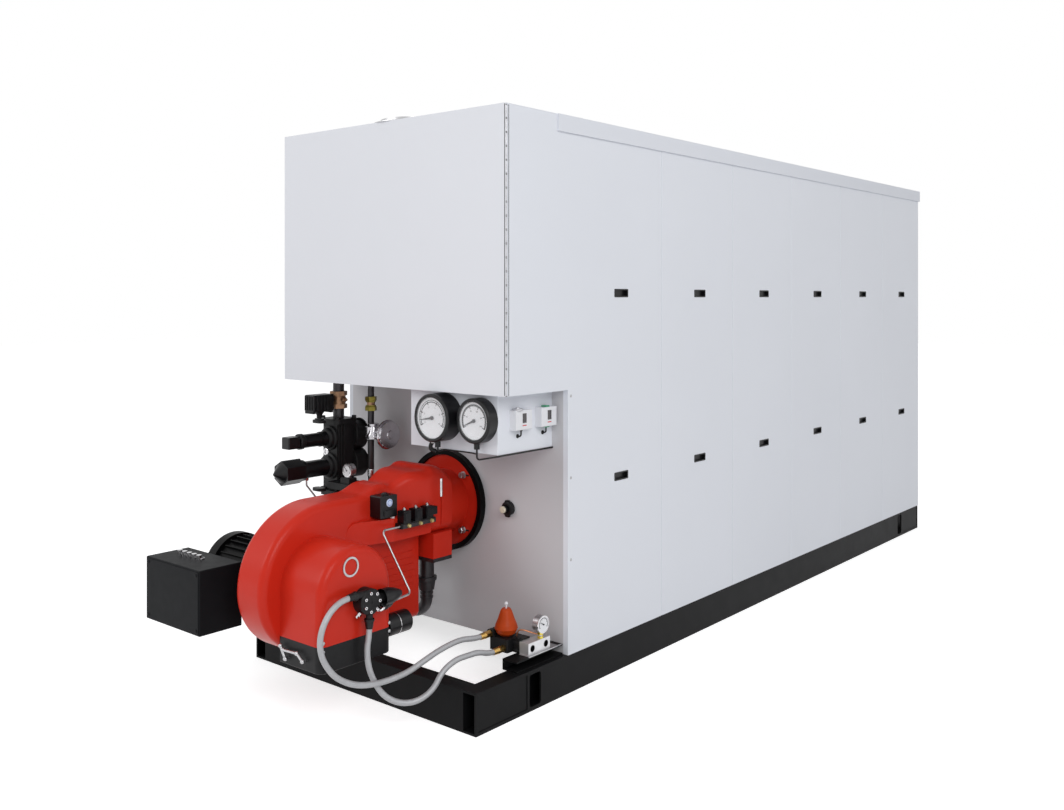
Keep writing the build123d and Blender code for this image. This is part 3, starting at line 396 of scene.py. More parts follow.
def settle(made, body):
    """Puts a new object in the scene and on its body."""
    scene_objects.link(made)
    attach(made, body)
    print("made", made.name, "on", body)


def piece(name, mesh, surface, body="root", edge=0.0):
    """The finished object from a mesh, with a small bevel in millimetres if asked."""
    bmesh.ops.recalc_face_normals(mesh, faces=mesh.faces)
    data = bpy.data.meshes.new(name)
    mesh.to_mesh(data)
    mesh.free()
    data.materials.append(surface)
    data.shade_smooth()
    data.set_sharp_from_angle(angle=HARD_EDGE)
    made = bpy.data.objects.new(name, data)
    settle(made, body)
    if edge:
        bevel = made.modifiers.new("edge", "BEVEL")
        bevel.width = edge / 1000
        bevel.segments = 2
        bevel.limit_method = "ANGLE"


def turned_piece(name, place, profile, steps, surface):
    """One turned shape as a piece of its own."""
    mesh = bmesh.new()
    turned(mesh, place, profile, steps)
    piece(name, mesh, surface)


def pipe_run(name, points, radius, surface):
    """A bent tube or cable through millimetre places, smooth at every bend."""
    curve = smooth_curve(name, [spot(*place) for place in points], PIPE_SMOOTHNESS)
    curve.bevel_depth = radius / 1000
    curve.bevel_resolution = PIPE_FACETS
    curve.use_fill_caps = True
    curve.materials.append(surface)
    settle(bpy.data.objects.new(name, curve), "root")


# %% [markdown]
# Hexagon heads hold the burner, the valves and the flanges. A plain disc would do at this size,
# but a hexagon's flats catch the light one by one. So a head is turned in six steps with its
# top corners off, on a round washer.

# %% Hexagon heads
WASHER_THICKNESS, WASHER_SPREAD = 0.1, 1.2
HEAD_CHAMFER, HEAD_TOP = 0.08, 0.88


def hex_head(mesh, place, across, reach=0.65):
    """Adds a hexagon head, its size over the flats in millimetres, on a washer."""
    corner, washer = across / math.sqrt(3), across * WASHER_THICKNESS
    spread, top = corner * WASHER_SPREAD, across * reach
    turned(mesh, place, [(0, 0), (spread, 0), (spread, washer), (0, washer)], 20)
    turned(mesh, place, [(corner, washer), (corner, top - across * HEAD_CHAMFER),
                         (corner * HEAD_TOP, top), (0, top)], 6)


def around(place, radius, count, start=0.0):
    """Places evenly round a circle on a surface, the first at the start angle in degrees."""
    turns = [math.radians(start + 360 * step / count) for step in range(count)]
    return [place @ Matrix.Translation((radius * math.cos(a) / 1000, radius * math.sin(a) / 1000, 0))
            for a in turns]


FLANGE_FACE, BURNER_HEIGHT = 496, 675
FLANGE_BOLTS = [(103, 114), (-103, 114), (-103, -114), (103, -114)]
SLIT_ASIDE = 21
heads, slits = bmesh.new(), bmesh.new()
for x, z in FLANGE_BOLTS:
    hex_head(heads, at(x, FLANGE_FACE, BURNER_HEIGHT + z, FRONT), 22, reach=0.9)
    slit = at(x + SLIT_ASIDE, FLANGE_FACE, BURNER_HEIGHT + z, FRONT)
    slab(slits, slit, oblong(24, 7, 3.4), -1, 0.6)
piece("burner_flange_bolts", heads, zinc)
piece("burner_flange_slits", slits, moulded_black)

# %% [markdown]
# The front door hangs on a piano hinge: a light barrel cut into short knuckles, with a shaded gap on each
# side. Cutting the CAD barrel would change the part. So dark rings stand on it where two knuckles meet, as
# painted shade in the cracks between them, and a dark strip on each side is the painted shadow in the gap.
# Each rides on the body that it touches. Three screws on each side hold the front panels' edges, and a loop
# places them.

# %% Casing screws and piano hinge
HINGE_X, HINGE_Y, HINGE_FOOT = 635.5, 157.1, 1171.6
KNUCKLE, KNUCKLE_COUNT = 50, 21
GAP_SHADOW_STRIPS = {"front_door": at(635.3, 150, 1698.5, FRONT), "root": at(640, 167.2, 1696.5, RIGHT)}

panel_screws = bmesh.new()
for z in (1147, 831, 515):
    for side in (1, -1):
        seat = at(side * 640, 532, z, (side, 0, 0))
        turned(panel_screws, seat, [(6, 0), (5.5, 1.5), (3.5, 2.4), (0, 2.6)], 16)
piece("panel_edge_screws", panel_screws, zinc)
# Black rings where two knuckles meet are painted shade in the cracks between the knuckles.
knuckle_gap_shade = {"front_door": bmesh.new(), "root": bmesh.new()}
for step in range(KNUCKLE_COUNT):
    owner = "root" if step % 2 else "front_door"
    foot = at(HINGE_X, HINGE_Y, HINGE_FOOT + KNUCKLE * step, TOP)
    for low in (0.2, 46):
        ring = [(4.5, low), (4.8, low), (4.8, low + 2), (4.5, low + 2)]
        turned(knuckle_gap_shade[owner], foot, ring, 20)
for owner, mesh in knuckle_gap_shade.items():
    piece("knuckle_gap_shade_" + owner, mesh, moulded_black, owner)
# Each dark strip beside the hinge is painted shadow in the gap between door and casing.
for owner, place in GAP_SHADOW_STRIPS.items():
    strip = bmesh.new()
    slab(strip, place, oblong(3, 1048, 1.2), -0.5, 0.3)
    piece("hinge_gap_shadow_" + owner, strip, moulded_black, owner)

# %% [markdown]
# Both large dials have a white enamelled face behind glass, with black marks. The controllers
# and valves bring a few more plastics and brasses. The glass could bend light, but flat dial
# glass only adds a faint sheen. So it is nearly clear plastic, and the face stays bright.

# %% Dial and fitting finishes
dial_white = finish("dial_enamel", rgb(232, 233, 236), 0.38, mottle=0.015, mottle_size=0.05)
mark_black = finish("dial_mark_ink", rgb(34, 34, 38), 0.5, mottle=0.1, mottle_size=0.01)
window_black = finish("display_window", rgb(46, 40, 44), 0.12, mottle=0.1, mottle_size=0.02, coat=0.4)
mark_red = finish("red_mark", rgb(196, 82, 88), 0.45, mottle_size=0.01)
copper = finish("thin_copper_pipe", rgb(172, 116, 88), 0.34, metallic=0.9, mottle=0.18, mottle_size=0.015)
yellow_brass = finish("bright_brass", rgb(214, 192, 84), 0.26, metallic=0.9, mottle=0.1, mottle_size=0.01)
pale_brass = finish("pale_brass", rgb(206, 190, 128), 0.3, metallic=0.6, mottle=0.1, mottle_size=0.01)
plug_green = finish("green_terminal", rgb(66, 150, 112), 0.45, mottle=0.06, mottle_size=0.01)
cream = finish("cream_knob", rgb(206, 196, 176), 0.4, mottle=0.06, mottle_size=0.02)
clear = finish("dial_glass", rgb(235, 238, 240), 0.05, mottle=0.01, mottle_size=0.1, gloss_spread=0.02,
               grain_depth=0.0, specular=0.12)
clear.node_tree.nodes["Principled BSDF"].inputs["Alpha"].default_value = 0.1
clear.surface_render_method = "BLENDED"
print("finishes", len(bpy.data.materials))

# %% [markdown]
# A dial has two arcs, long and short ticks, and plain numbers. A picture on the face would be
# quick, but it blurs close up, and an export may lose it. So each mark is a thin raised plate,
# at an angle worked out from the dial's whole sweep.

# %% Dial marks
DIAL_START, DIAL_END = 208.0, -28.0
ARC_STEPS, TICKS_PER_NUMBER = 60, 5
ARC_PLACES = (0.88, 0.79)
TICK_END, NUMBER_PLACE, NUMBER_SIZE = 0.86, 0.54, 0.12
LONG_TICK, SHORT_TICK = (0.2, 0.042), (0.11, 0.012)
SMALLEST_NUMBERED = 30


def dial_angle(step, steps):
    """The angle in degrees of one step on a dial whose whole sweep has so many steps."""
    return DIAL_START + (DIAL_END - DIAL_START) * step / steps


def number(mesh, place, words, size, x, y):
    """Adds a plain number, centred on a point of a face."""
    text = bpy.data.curves.new("number", "FONT")
    text.body = words
    text.size = size / 1000
    text.align_x = "CENTER"
    text.align_y = "CENTER"
    text.extrude = 0.0001
    text.resolution_u = 2
    holder = bpy.data.objects.new("number", text)
    flat = bpy.data.meshes.new_from_object(holder)
    flat.transform(place @ Matrix.Translation((x / 1000, y / 1000, 0.0002)))
    mesh.from_mesh(flat)
    bpy.data.meshes.remove(flat)
    bpy.data.objects.remove(holder)
    bpy.data.curves.remove(text)


def dial_marks(mesh, face, radius, labels, lines):
    """Adds the arcs, ticks and numbers; lines are the two arcs' widths as shares of the radius."""
    sweep = [math.radians(dial_angle(step, ARC_STEPS)) for step in range(ARC_STEPS + 1)]
    for share, line in zip(ARC_PLACES, lines):
        rim = [(radius * share * math.cos(a), radius * share * math.sin(a)) for a in sweep]
        inner = [(v * (1 - line / share), w * (1 - line / share)) for v, w in rim]
        for i in range(ARC_STEPS):
            slab(mesh, face, [rim[i], inner[i], inner[i + 1], rim[i + 1]], 0, 0.3)
    steps = (len(labels) - 1) * TICKS_PER_NUMBER
    for tick in range(steps + 1):
        angle = dial_angle(tick, steps)
        has_number = tick % TICKS_PER_NUMBER == 0
        reach, wide = LONG_TICK if has_number else SHORT_TICK
        turn = face @ Matrix.Rotation(math.radians(angle), 4, "Z")
        middle = (radius * (TICK_END - reach / 2), 0)
        slab(mesh, turn, oblong(radius * reach, radius * wide, 0.1, 1, middle), 0, 0.35)
        if has_number and radius > SMALLEST_NUMBERED:
            a, out = math.radians(angle), radius * NUMBER_PLACE
            number(mesh, face, labels[tick // TICKS_PER_NUMBER], radius * NUMBER_SIZE,
                   out * math.cos(a), out * math.sin(a))


print("a dial sweeps", DIAL_START - DIAL_END, "degrees")

# %% [markdown]
# Two large dials show the boiler's pressure and temperature, and two small ones sit on the gas
# valve and the oil set. Modelling each would repeat the work, so one function makes face,
# marks, needle and glass from a place, a radius and numbers. The small ones need no glass.

# %% Dials
MARK_HEIGHT = 0.0010
GAUGE_HEIGHT = 1072


def dial_needle(mesh, seat, radius, pointer):
    """Adds a slim needle that points at an angle in degrees, and the boss that it turns on."""
    turn = seat @ Matrix.Rotation(math.radians(pointer), 4, "Z")
    tail, tip, wide = -radius * 0.12, radius * 0.82, radius * 0.055
    half = [(tail, wide * 1.3), (0, wide), (tip, wide * 0.2)]
    slab(mesh, turn, [(along, -aside) for along, aside in half] + half[::-1], 3.0, 3.8)
    boss, boss_top = radius * 0.1, radius * 0.06
    turned(mesh, seat, [(0, 1), (boss, 1), (boss, 4.6), (boss_top, 5.4), (0, 5.4)], 20)


def dial(name, x, y, z, out, radius, labels, pointer, lines=(0.05, 0.014), glass=True):
    """A dial's face, its marks, needle and glass, for a case with its front at a place."""
    seat = at(x, y, z, out)
    lip, well = radius * 0.97, radius * 0.95
    turned_piece(name + "_face", seat, [(radius, 0), (radius, 1.4), (lip, 1.8), (well, 1.0), (0, 1.0)],
                 64, dial_white)
    ink, needle = bmesh.new(), bmesh.new()
    dial_marks(ink, seat @ Matrix.Translation((0, 0, MARK_HEIGHT)), radius, labels, lines)
    piece(name + "_marks", ink, mark_black)
    dial_needle(needle, seat, radius, pointer)
    piece(name + "_needle", needle, mark_black)
    if glass:
        turned_piece(name + "_glass", seat, [(0, 6.0), (radius, 6.0), (radius, 7.2), (0, 7.6)], 48, clear)


dial("pressure_dial", 288, 131, GAUGE_HEIGHT, FRONT, 78, ["0", "2", "4", "6", "8", "10"], 190,
     lines=(0.03, 0.045))
dial("temperature_dial", 476, 161, GAUGE_HEIGHT, FRONT, 70.5, ["0", "20", "40", "60", "80", "100"], 203,
     lines=(0.085, 0.02))
dial("valve_gauge_dial", -300, 213.4, 800, FRONT, 25, ["0"] + [""] * 4, 130, glass=False)
dial("oil_gauge_dial", 606.6, 404, 290, RIGHT, 29, ["0"] + [""] * 5, 150, glass=False)

# %% [markdown]
# The small dials have bright bezels. Under the large ones hang a black elbow and the thin line
# that runs back along the gauge box. Straight tubes would look stiff, so each is one smooth
# curve through measured places.

# %% Gauge bezels and lines
bezels = bmesh.new()
for seat, radius in ((at(-300, 214, 800, FRONT), 28), (at(606, 404, 290, RIGHT), 33)):
    bezel = [(radius, -3), (radius + 1, 0), (radius, 3), (radius - 3.5, 3.4), (radius - 4.5, 0.4)]
    turned(bezels, seat, bezel, 40)
piece("small_gauge_bezels", bezels, bright_steel)
pipe_run("pressure_gauge_elbow", [(272, 160, 985), (252, 158, 968), (250, 160, 944), (268, 170, 941)],
         8, cast_black)
pipe_run("pressure_gauge_line", [(262, 174, 942), (280, 188, 944), (310, 196, 946), (380, 197, 946),
                                 (452, 197, 946), (470, 184, 944)], 3, moulded_black)
foot_nuts = bmesh.new()
hex_head(foot_nuts, at(268, 161, 990, DOWN), 20, 0.9)
hex_head(foot_nuts, at(476, 176, 984, DOWN), 14, 0.9)
piece("gauge_foot_nuts", foot_nuts, zinc)

# %% [markdown]
# Two small controllers sit on the gauge box's side, each with a dark window and a short red
# bar. One has a grey knob, the other green terminals, and rubber grommets take their cables.
# The windows could be painted on, but a plate that stands out a little has a real edge.

# %% Controllers
CONTROLLER_FRONT, CONTROLLER_TOP, CONTROLLER_FOOT = 594, 1108, 1034
windows, bars, knobs, terminals, grommets = (bmesh.new() for _ in range(5))
for y in (310, 458):
    front = at(CONTROLLER_FRONT, y, 1071, RIGHT)
    slab(windows, front, oblong(22, 36, 1.5, 4, (0, 7)), 0, 0.9)
    slab(bars, front, oblong(22, 4, 0.8, 3, (0, -20)), 0, 0.7)
    turned(grommets, at(559, y, 1008, RIGHT), [(8, 0), (8, 1.5), (6.5, 3.5), (3.2, 3.5)], 24)
    turned(grommets, at(576.5, y, CONTROLLER_FOOT, DOWN), [(6, 0), (6, 3), (4.5, 6), (3, 6)], 20)
turned(knobs, at(580, 286, CONTROLLER_TOP, TOP), [(20, 0), (20, 5), (18.5, 7), (9, 7), (8, 11), (0, 11)], 32)
slab(terminals, at(577, 454, CONTROLLER_TOP, TOP), oblong(24, 22, 1.5), 0, 6)
slab(terminals, at(577, 454, CONTROLLER_FOOT, DOWN), oblong(24, 22, 1.5), 0, 4)
piece("controller_windows", windows, window_black)
piece("controller_red_bars", bars, mark_red)
piece("controller_knob", knobs, hinge_steel)
piece("controller_terminals", terminals, plug_green, edge=0.6)
piece("cable_grommets", grommets, moulded_black)

# %% [markdown]
# An air pressure switch sits on the burner's neck. Its case is a CAD node, and what is read or
# turned on it is added here: a pale blue setting dial with a ring, a cap, a cover plate and a
# white plug. They face the camera, so they are turned and cut, not painted on.

# %% Air pressure switch
SETTING_PLACE = at(128, 60, 742, RIGHT)
pale_dial = finish("setting_dial_blue", rgb(208, 222, 250), 0.36, mottle_size=0.01)
ring_blue = finish("setting_ring_blue", rgb(120, 146, 196), 0.4, mottle_size=0.01)
turned_piece("switch_setting_dial", SETTING_PLACE,
             [(15, 0), (15, 2), (13.5, 3), (7, 3.4), (7, 5), (0, 5.2)], 32, pale_dial)
turned_piece("switch_dial_ring", SETTING_PLACE, [(11.4, 3), (11.4, 3.9), (9.4, 4.0), (9.4, 3)], 32, ring_blue)
switch_bits = bmesh.new()
turned(switch_bits, at(104, 58, 770, TOP), [(16, 0), (16, 3), (11, 5), (9, 9), (0, 9)], 28)
slab(switch_bits, at(128, 62, 704, RIGHT), oblong(60, 22, 3), 0, 3)
piece("switch_cap_and_cover", switch_bits, moulded_black, edge=0.8)
turned_piece("switch_white_plug", at(117, 86, 687, DOWN),
             [(9, -2), (9, 6), (7, 11), (0, 12)], 20, white_plastic)

# %% [markdown]
# Three oil valves with black coils sit behind the switch, beside the damper's bright rod. A
# plated stem and nut hold each coil, each valve has a brass cap, and the last coil has its plug
# at its side. They could be copied by hand, but a loop over their places keeps them alike.

# %% Oil valves and damper rod
VALVE_PLACES = (118.7, 180.0, 241.3)
COIL_X, COIL_TOP, COIL_FACE = 148, 706, 166
stems, caps, coil_bits = bmesh.new(), bmesh.new(), bmesh.new()
for y in VALVE_PLACES:
    coil_top = at(COIL_X, y, COIL_TOP, TOP)
    hex_head(stems, coil_top, 12, 0.7)
    turned(stems, coil_top, [(3.2, 8), (3.2, 11), (2.2, 12), (0, 12)], 14)
    turned(caps, at(COIL_FACE, y + 6, 649, RIGHT), [(8.5, 0), (8.5, 5), (6.5, 8), (6.5, 10), (0, 10.5)], 6)
    slab(coil_bits, at(COIL_FACE, y, 684, RIGHT), oblong(26, 30, 2), 0, 3)
    slab(coil_bits, coil_top, oblong(28, 30, 3), 0, 2)
slab(coil_bits, at(149, 262, 684, REAR), oblong(26, 32, 3), 0, 24)
piece("coil_stems", stems, zinc)
piece("valve_caps", caps, pale_brass)
piece("coil_covers_and_plug", coil_bits, moulded_black, edge=0.8)
rail = bmesh.new()
slab(rail, at(COIL_FACE, 184, 648, RIGHT), oblong(176, 15, 2), 0, 2)
piece("valve_rail_front", rail, pipe_black, edge=0.6)
turned_piece("damper_rod", at(130.5, 337, 726, TOP),
             [(0, 0), (6.6, 1), (6.6, 71), (5.6, 73), (0, 73.5)], 20, bright_steel)

# %% [markdown]
# The oil pump hangs on the intake's side. Socket screws hold its cover, the hoses leave it
# through tapered black sleeves, and a black solenoid tapers off to the rear. Plated plugs and a
# small hooked pipe catch the light. All that shares a finish here shares a mesh, which keeps
# the list of pieces short.

# %% Oil pump fittings
HOSE_SLEEVE_END = [(12.6, 34), (10.6, 35)]
cover_screws, black_ends, plated = bmesh.new(), bmesh.new(), bmesh.new()
for place in around(at(*PUMP_FACE, RIGHT), 33, 7):
    turned(cover_screws, place, [(5.8, 0), (5.8, 5.6), (5.2, 6.4), (2.9, 6.4), (2.6, 4.4), (0, 4.4)], 18)
turned(black_ends, at(325.6, -275, 495.2, FRONT), [(17, 0), (17, 8), (15, 10)] + HOSE_SLEEVE_END)
turned(black_ends, at(325.6, -215, 403, DOWN), [(18, 0), (18, 8), (16, 10)] + HOSE_SLEEVE_END)
turned(black_ends, at(326, -130, 463, REAR),
       [(32, -30), (31.5, 2), (24, 34), (14, 56), (12, 61), (0, 63)], 32)
turned(plated, at(318, -253, 428, (0, -0.85, -0.5)), [(9, 0), (9, 8), (6, 10), (6, 18), (4, 20), (0, 20)], 6)
turned(black_ends, at(333, -172, 435.4, REAR),
       [(14, 0), (15, 3), (15, 28), (12, 30), (10, 48), (7, 51), (5, 58)], 6)
turned(plated, at(340, -192, 433, RIGHT), [(6, 0), (6, 8), (0, 9)], 16)
piece("pump_cover_screws", cover_screws, bright_steel)
piece("hose_sleeves", black_ends, moulded_black)
piece("pump_plugs", plated, bright_steel)
pipe_run("pump_elbow_pipe", [(345, -190, 431), (358, -189, 432), (360, -178, 438), (354, -170, 439),
                             (340, -168, 437)], 4.6, bright_steel)

# %% [markdown]
# The intake is screwed to the damper box low on its side, and a thin bright band goes round the
# servo motor behind it. Both are small, but light marks on dark paint catch the eye, so they
# are real turned shapes.

# %% Intake screws and servo band
side_screws = bmesh.new()
for y, z in ((-390, 352), (-90, 352), (-390, 322), (-90, 322)):
    turned(side_screws, at(292, y, z, RIGHT), [(6, -2), (6, 1), (4, 2.4), (0, 2.8)], 16)
piece("intake_side_screws", side_screws, zinc)
turned_piece("servo_band", at(245, -22, 325, REAR),
             [(39.5, -1.5), (40.7, -1.2), (40.7, 1.2), (39.5, 1.5)], 48, bright_steel)

# %% [markdown]
# The motor's far end has a pressed cowl with rings of slots, where its fan draws air. Real
# slots would need a boolean each. A raised rim round each one reads the same on black paint.

# %% Motor cowl
MOTOR_END = at(-500, -215, 460, LEFT)
cowl = bmesh.new()
turned(cowl, MOTOR_END, [(110, 0), (110, 2), (98, 3), (0, 3)], 48)
for ring_radius, count in ((40, 10), (64, 16), (88, 22)):
    for place in around(MOTOR_END, ring_radius, count):
        turned(cowl, place, [(6.2, 2.5), (6.2, 4.2), (4.4, 4.2), (4.4, 2.5)], 10)
piece("motor_cowl_grille", cowl, motor_black)

# %% [markdown]
# The control box has a lid with its own edge, captive screws, cable glands underneath and a
# plated collar round each button. A drawn line could be the lid's edge, but a plate a little
# smaller than the box's face gets a real shadow.

# %% Control box
LID_X, LID_Z, LID_FACE = -395, 424.5, -542
BOX_LEFT, BOX_WIDTH = -574, 358
BUTTON_SHARES = (0.2, 0.29, 0.38, 0.47, 0.56)
lid, glands, collars = bmesh.new(), bmesh.new(), bmesh.new()
slab(lid, at(LID_X, LID_FACE, LID_Z, FRONT), oblong(346, 225, 6), -0.5, 2)
for x, z in ((-160, 100), (160, 100), (-160, -100), (160, -100)):
    turned(lid, at(LID_X + x, LID_FACE - 2, LID_Z + z, FRONT),
           [(7, -1), (7, 1), (5, 2), (1.5, 2), (1.5, 0.8), (0, 0.8)], 16)
piece("control_box_lid", lid, control_black, edge=1.2)
for x in (-540, -500, -460, -300):
    hex_head(glands, at(x, -452, 306, DOWN), 24, 0.4)
    turned(glands, at(x, -452, 297, DOWN), [(11, 0), (10, 8), (6, 10), (0, 10)], 20)
piece("cable_glands", glands, moulded_black)
for share in BUTTON_SHARES:
    turned(collars, at(BOX_LEFT + BOX_WIDTH * share, -434.2, 543, TOP),
           [(14, 0), (14, 3), (11.5, 5), (10.2, 5)], 28)
piece("button_collars", collars, zinc)

# %% [markdown]
# The gas train is mostly black castings. Ribs stiffen the double valve's corner and the drive's
# case, and pads carry its flanges. A bump would vanish along the outline, so they are plates
# that stand out of the CAD casting.

# %% Gas valve ribs and pads
GAS_X, DRIVE_Y, DRIVE_Z = -459, 194.5, 1077
cast_bits = bmesh.new()
for y in (262, 276, 290):
    slab(cast_bits, at(-413, y, 838, RIGHT), oblong(6, 290, 2.9), -1, 5)
for y in (160, 178, 196, 214):
    slab(cast_bits, at(-427, y, DRIVE_Z, RIGHT), oblong(6, 62, 2), -1, 3.5)
for x in (-482, -470, -458, -446, -436):
    slab(cast_bits, at(x, 139, DRIVE_Z, FRONT), oblong(5, 60, 2), -1, 3.5)
for y in (146, 240):
    slab(cast_bits, at(GAS_X, y, 1042, DOWN), oblong(58, 12, 2), -1, 9)
turned(cast_bits, at(GAS_X, DRIVE_Y, 1044, DOWN), [(24, 0), (20, 8), (12, 20), (11, 32), (0, 32)], 28)
for z in (990, 700):
    slab(cast_bits, at(GAS_X, DRIVE_Y, z, TOP), oblong(66, 40, 19, 8), 0, 13)
slab(cast_bits, at(GAS_X, 222, 706.5, FRONT), oblong(16, 12, 5), -40, 30)
slab(cast_bits, at(-305, 205, 743, FRONT), oblong(56, 54, 5), -42, 0)
piece("valve_ribs_and_knobs", cast_bits, cast_black, edge=1.0)

# %% [markdown]
# Two actuators reach forward from the double valve, and two diaphragm housings close it behind.
# All are round, so turned collars and shallow domes give them their steps. Their flange bolts
# come from the same helper as the burner's.

# %% Actuator collars, domes and bolts
barrel_bits, valve_bolts = bmesh.new(), bmesh.new()
for z, radius in ((920, 32), (798, 36)):
    turned(barrel_bits, at(GAS_X, 254, z, FRONT),
           [(radius + 20, 0), (radius + 20, 8), (radius + 12, 12), (radius + 10, 24), (radius + 3, 30),
            (radius - 2, 32)], 36)
turned(barrel_bits, at(GAS_X, 104, 920, FRONT), [(30, 0), (33, 4), (33, 20), (29, 24), (24, 27)], 36)
turned(barrel_bits, at(GAS_X, 110, 798, FRONT), [(36, 0), (44, 6), (45, 20), (38, 24)], 36)
for z in (931, 802):
    turned(barrel_bits, at(GAS_X, 416, z, REAR), [(62, -2), (62, 4), (52, 10), (34, 16), (0, 19)], 36)
    turned(barrel_bits, at(GAS_X, 350, z, REAR), [(61, 0), (68, 3), (68, 12), (61, 15)], 36)
piece("actuator_collars_and_domes", barrel_bits, cast_black)
for z in (1003, 695):
    for x, y in ((-47, -47), (47, -47), (47, 47), (-47, 47)):
        hex_head(valve_bolts, at(GAS_X + x, 300 + y, z, TOP), 17)
piece("valve_flange_bolts", valve_bolts, cast_black)

# %% [markdown]
# A plug, a nut, a sleeve, a bronze stem and a brass union are the light spots on the gas train.
# The union is two nuts that face each other, so one profile is turned twice, upwards and
# downwards.

# %% Light gas fittings
PILOT_X, PILOT_Y = -339, 380
UNION_NUT = [(14.2, 0), (25.6, 0), (25.6, 17), (22.6, 19), (22.6, 24), (14.2, 24)]
light_bits, union = bmesh.new(), bmesh.new()
turned(light_bits, at(-478, 254, 858, FRONT), [(17, -4), (17, 8), (14, 10), (8, 10), (7, 7), (0, 7)], 24)
hex_head(light_bits, at(GAS_X, 126, 764, DOWN), 16, 0.8)
turned(light_bits, at(PILOT_X, PILOT_Y, 706, TOP), [(14.6, 0), (14.8, 1), (14.8, 74), (14.2, 76)], 28)
piece("gas_train_plated_fittings", light_bits, bright_steel)
turned_piece("bronze_valve_stem", at(-424, 300, 1084, RIGHT),
             [(12, 0), (12, 6), (6, 8), (6, 18), (4, 20), (0, 20)], 20, bronze)
turned(union, at(PILOT_X, PILOT_Y, 1036, TOP), UNION_NUT, 6)
turned(union, at(PILOT_X, PILOT_Y, 1097, DOWN), UNION_NUT, 6)
piece("pilot_union", union, aged_brass)

# %% [markdown]
# The pilot gas regulator is a bright casting: a capped bonnet, and a wide diaphragm housing whose halves are
# clamped by eight bolts. All of it is round about two axes, so it is turned, and a dark ring where the halves
# meet is painted shade in their seam.

# %% Pilot regulator
HOUSING = at(-241, PILOT_Y, 940, RIGHT)
regulator = bmesh.new()
turned(regulator, at(-322, PILOT_Y, 930, TOP),
       [(30, -14), (30, 0), (24, 14), (19, 30), (17, 38), (24, 40), (24, 50), (20, 52), (0, 52)], 32)
turned(regulator, at(-318, PILOT_Y, 936, RIGHT), [(16, 0), (22, 30), (40, 66), (46, 74)], 32)
turned(regulator, HOUSING, [(60, 2), (62, 4), (62, 11), (58, 14), (38, 17), (22, 20), (17, 30), (0, 31)], 40)
for place in around(at(-236, PILOT_Y, 940, RIGHT), 53, 8, 12):
    hex_head(regulator, place @ Matrix.Translation((0, 0, 0.010)), 9, 0.8)
piece("regulator_bonnet_and_housing", regulator, cast_bright)
# A thin black ring is painted shade in the seam between the housing's halves.
turned_piece("regulator_seam_shade", HOUSING, [(61.5, 6.6), (62.8, 6.6), (62.8, 8.6), (61.5, 8.6)], 40,
             moulded_black)

# %% [markdown]
# The oil set stands on the skid. Its manifold has two deep ports, its gauge stands on a brass stub, and the
# hoses end in brass nipples. The ports are open in the CAD block, and a black cup in each is painted shade,
# which keeps them dark where a lamp would light them.

# %% Manifold and hose ends
ports, nipples = bmesh.new(), bmesh.new()
# Black cups inside the ports are painted shade.
for y in (342.3, 421.7):
    turned(ports, at(592.6, y, 214, RIGHT), [(0, 0), (12.4, 0), (12.9, 12.6), (12.2, 12.6), (11.6, 2)])
piece("manifold_port_shade", ports, moulded_black)
turned_piece("gauge_brass_stub", at(593, 404, 237, TOP),
             [(12, 0), (12, 6), (9.6, 8), (9.6, 12), (12, 14), (12, 22), (9.4, 24)], 6, yellow_brass)
for x, z in ((440, 250), (506, 207)):
    turned(nipples, at(x, 262, z, FRONT), [(13, 0), (13, 8), (12, 10), (12, 26), (11, 30), (10.6, 30)])
piece("hose_nipples", nipples, brass)

# %% [markdown]
# A black elbow takes the upper hose into the filter's head, a union and thin copper pipe join
# filter and gauge, and the orange cap ends in a white ball on a stem. A ready made sphere would
# do, but a turned half circle comes from the same helper as the rest.

# %% Filter fittings
BALL_RADIUS, BALL_STEP = 7.2, 20
elbow_body, bracket_plate_and_highlight, ball = bmesh.new(), bmesh.new(), bmesh.new()
slab(elbow_body, at(440, 289, 250, REAR), oblong(32, 30, 8), 0, 38)
slab(elbow_body, at(552, 334, 217, LEFT), oblong(36, 36, 6), -10, 24)
turned(elbow_body, at(482, 334, 192, DOWN), [(30, 0), (30, 4), (20, 10), (0, 12)], 28)
hex_head(elbow_body, at(545, 334, 235, TOP), 22, 0.6)
piece("filter_elbow_and_union", elbow_body, cast_black, edge=1.2)
pipe_run("gauge_copper_pipe", [(520, 350, 238), (522, 352, 262), (540, 360, 268), (566, 384, 256),
                               (580, 398, 250), (593, 404, 249)], 3, copper)
# The narrow zinc strip on the bracket's top outer edge paints the highlight along that edge.
slab(bracket_plate_and_highlight, at(613.5, 410, 191, TOP), oblong(4, 196, 1), -2, 1.6)
slab(bracket_plate_and_highlight, at(590, 398, 191, TOP), oblong(52, 176, 2), -0.5, 1.4)
turned_piece("manifold_union", at(544, 354, 222, RIGHT),
             [(17, 0), (17, 9), (12, 11), (12, 14), (16, 16), (16, 18)], 6, copper)
half_circle = [math.radians(angle) for angle in range(-60, 90, BALL_STEP)]
turned(ball, at(482, 334, 362, TOP),
       [(0, -BALL_RADIUS)] + [(BALL_RADIUS * math.cos(a), BALL_RADIUS * math.sin(a)) for a in half_circle]
       + [(0, BALL_RADIUS)], 20)
turned(ball, at(482, 334, 344, TOP), [(3.3, 0), (3.3, 11.5)], 16)
piece("filter_cap_ball", ball, white_plastic)
piece("bracket_plate_and_edge_highlight", bracket_plate_and_highlight, zinc)

# %% [markdown]
# The sight port looks into the furnace through the front wall. It has a black plate and ring,
# and a cream knob that swings its cover. At this size a plate and two turned shapes are enough.

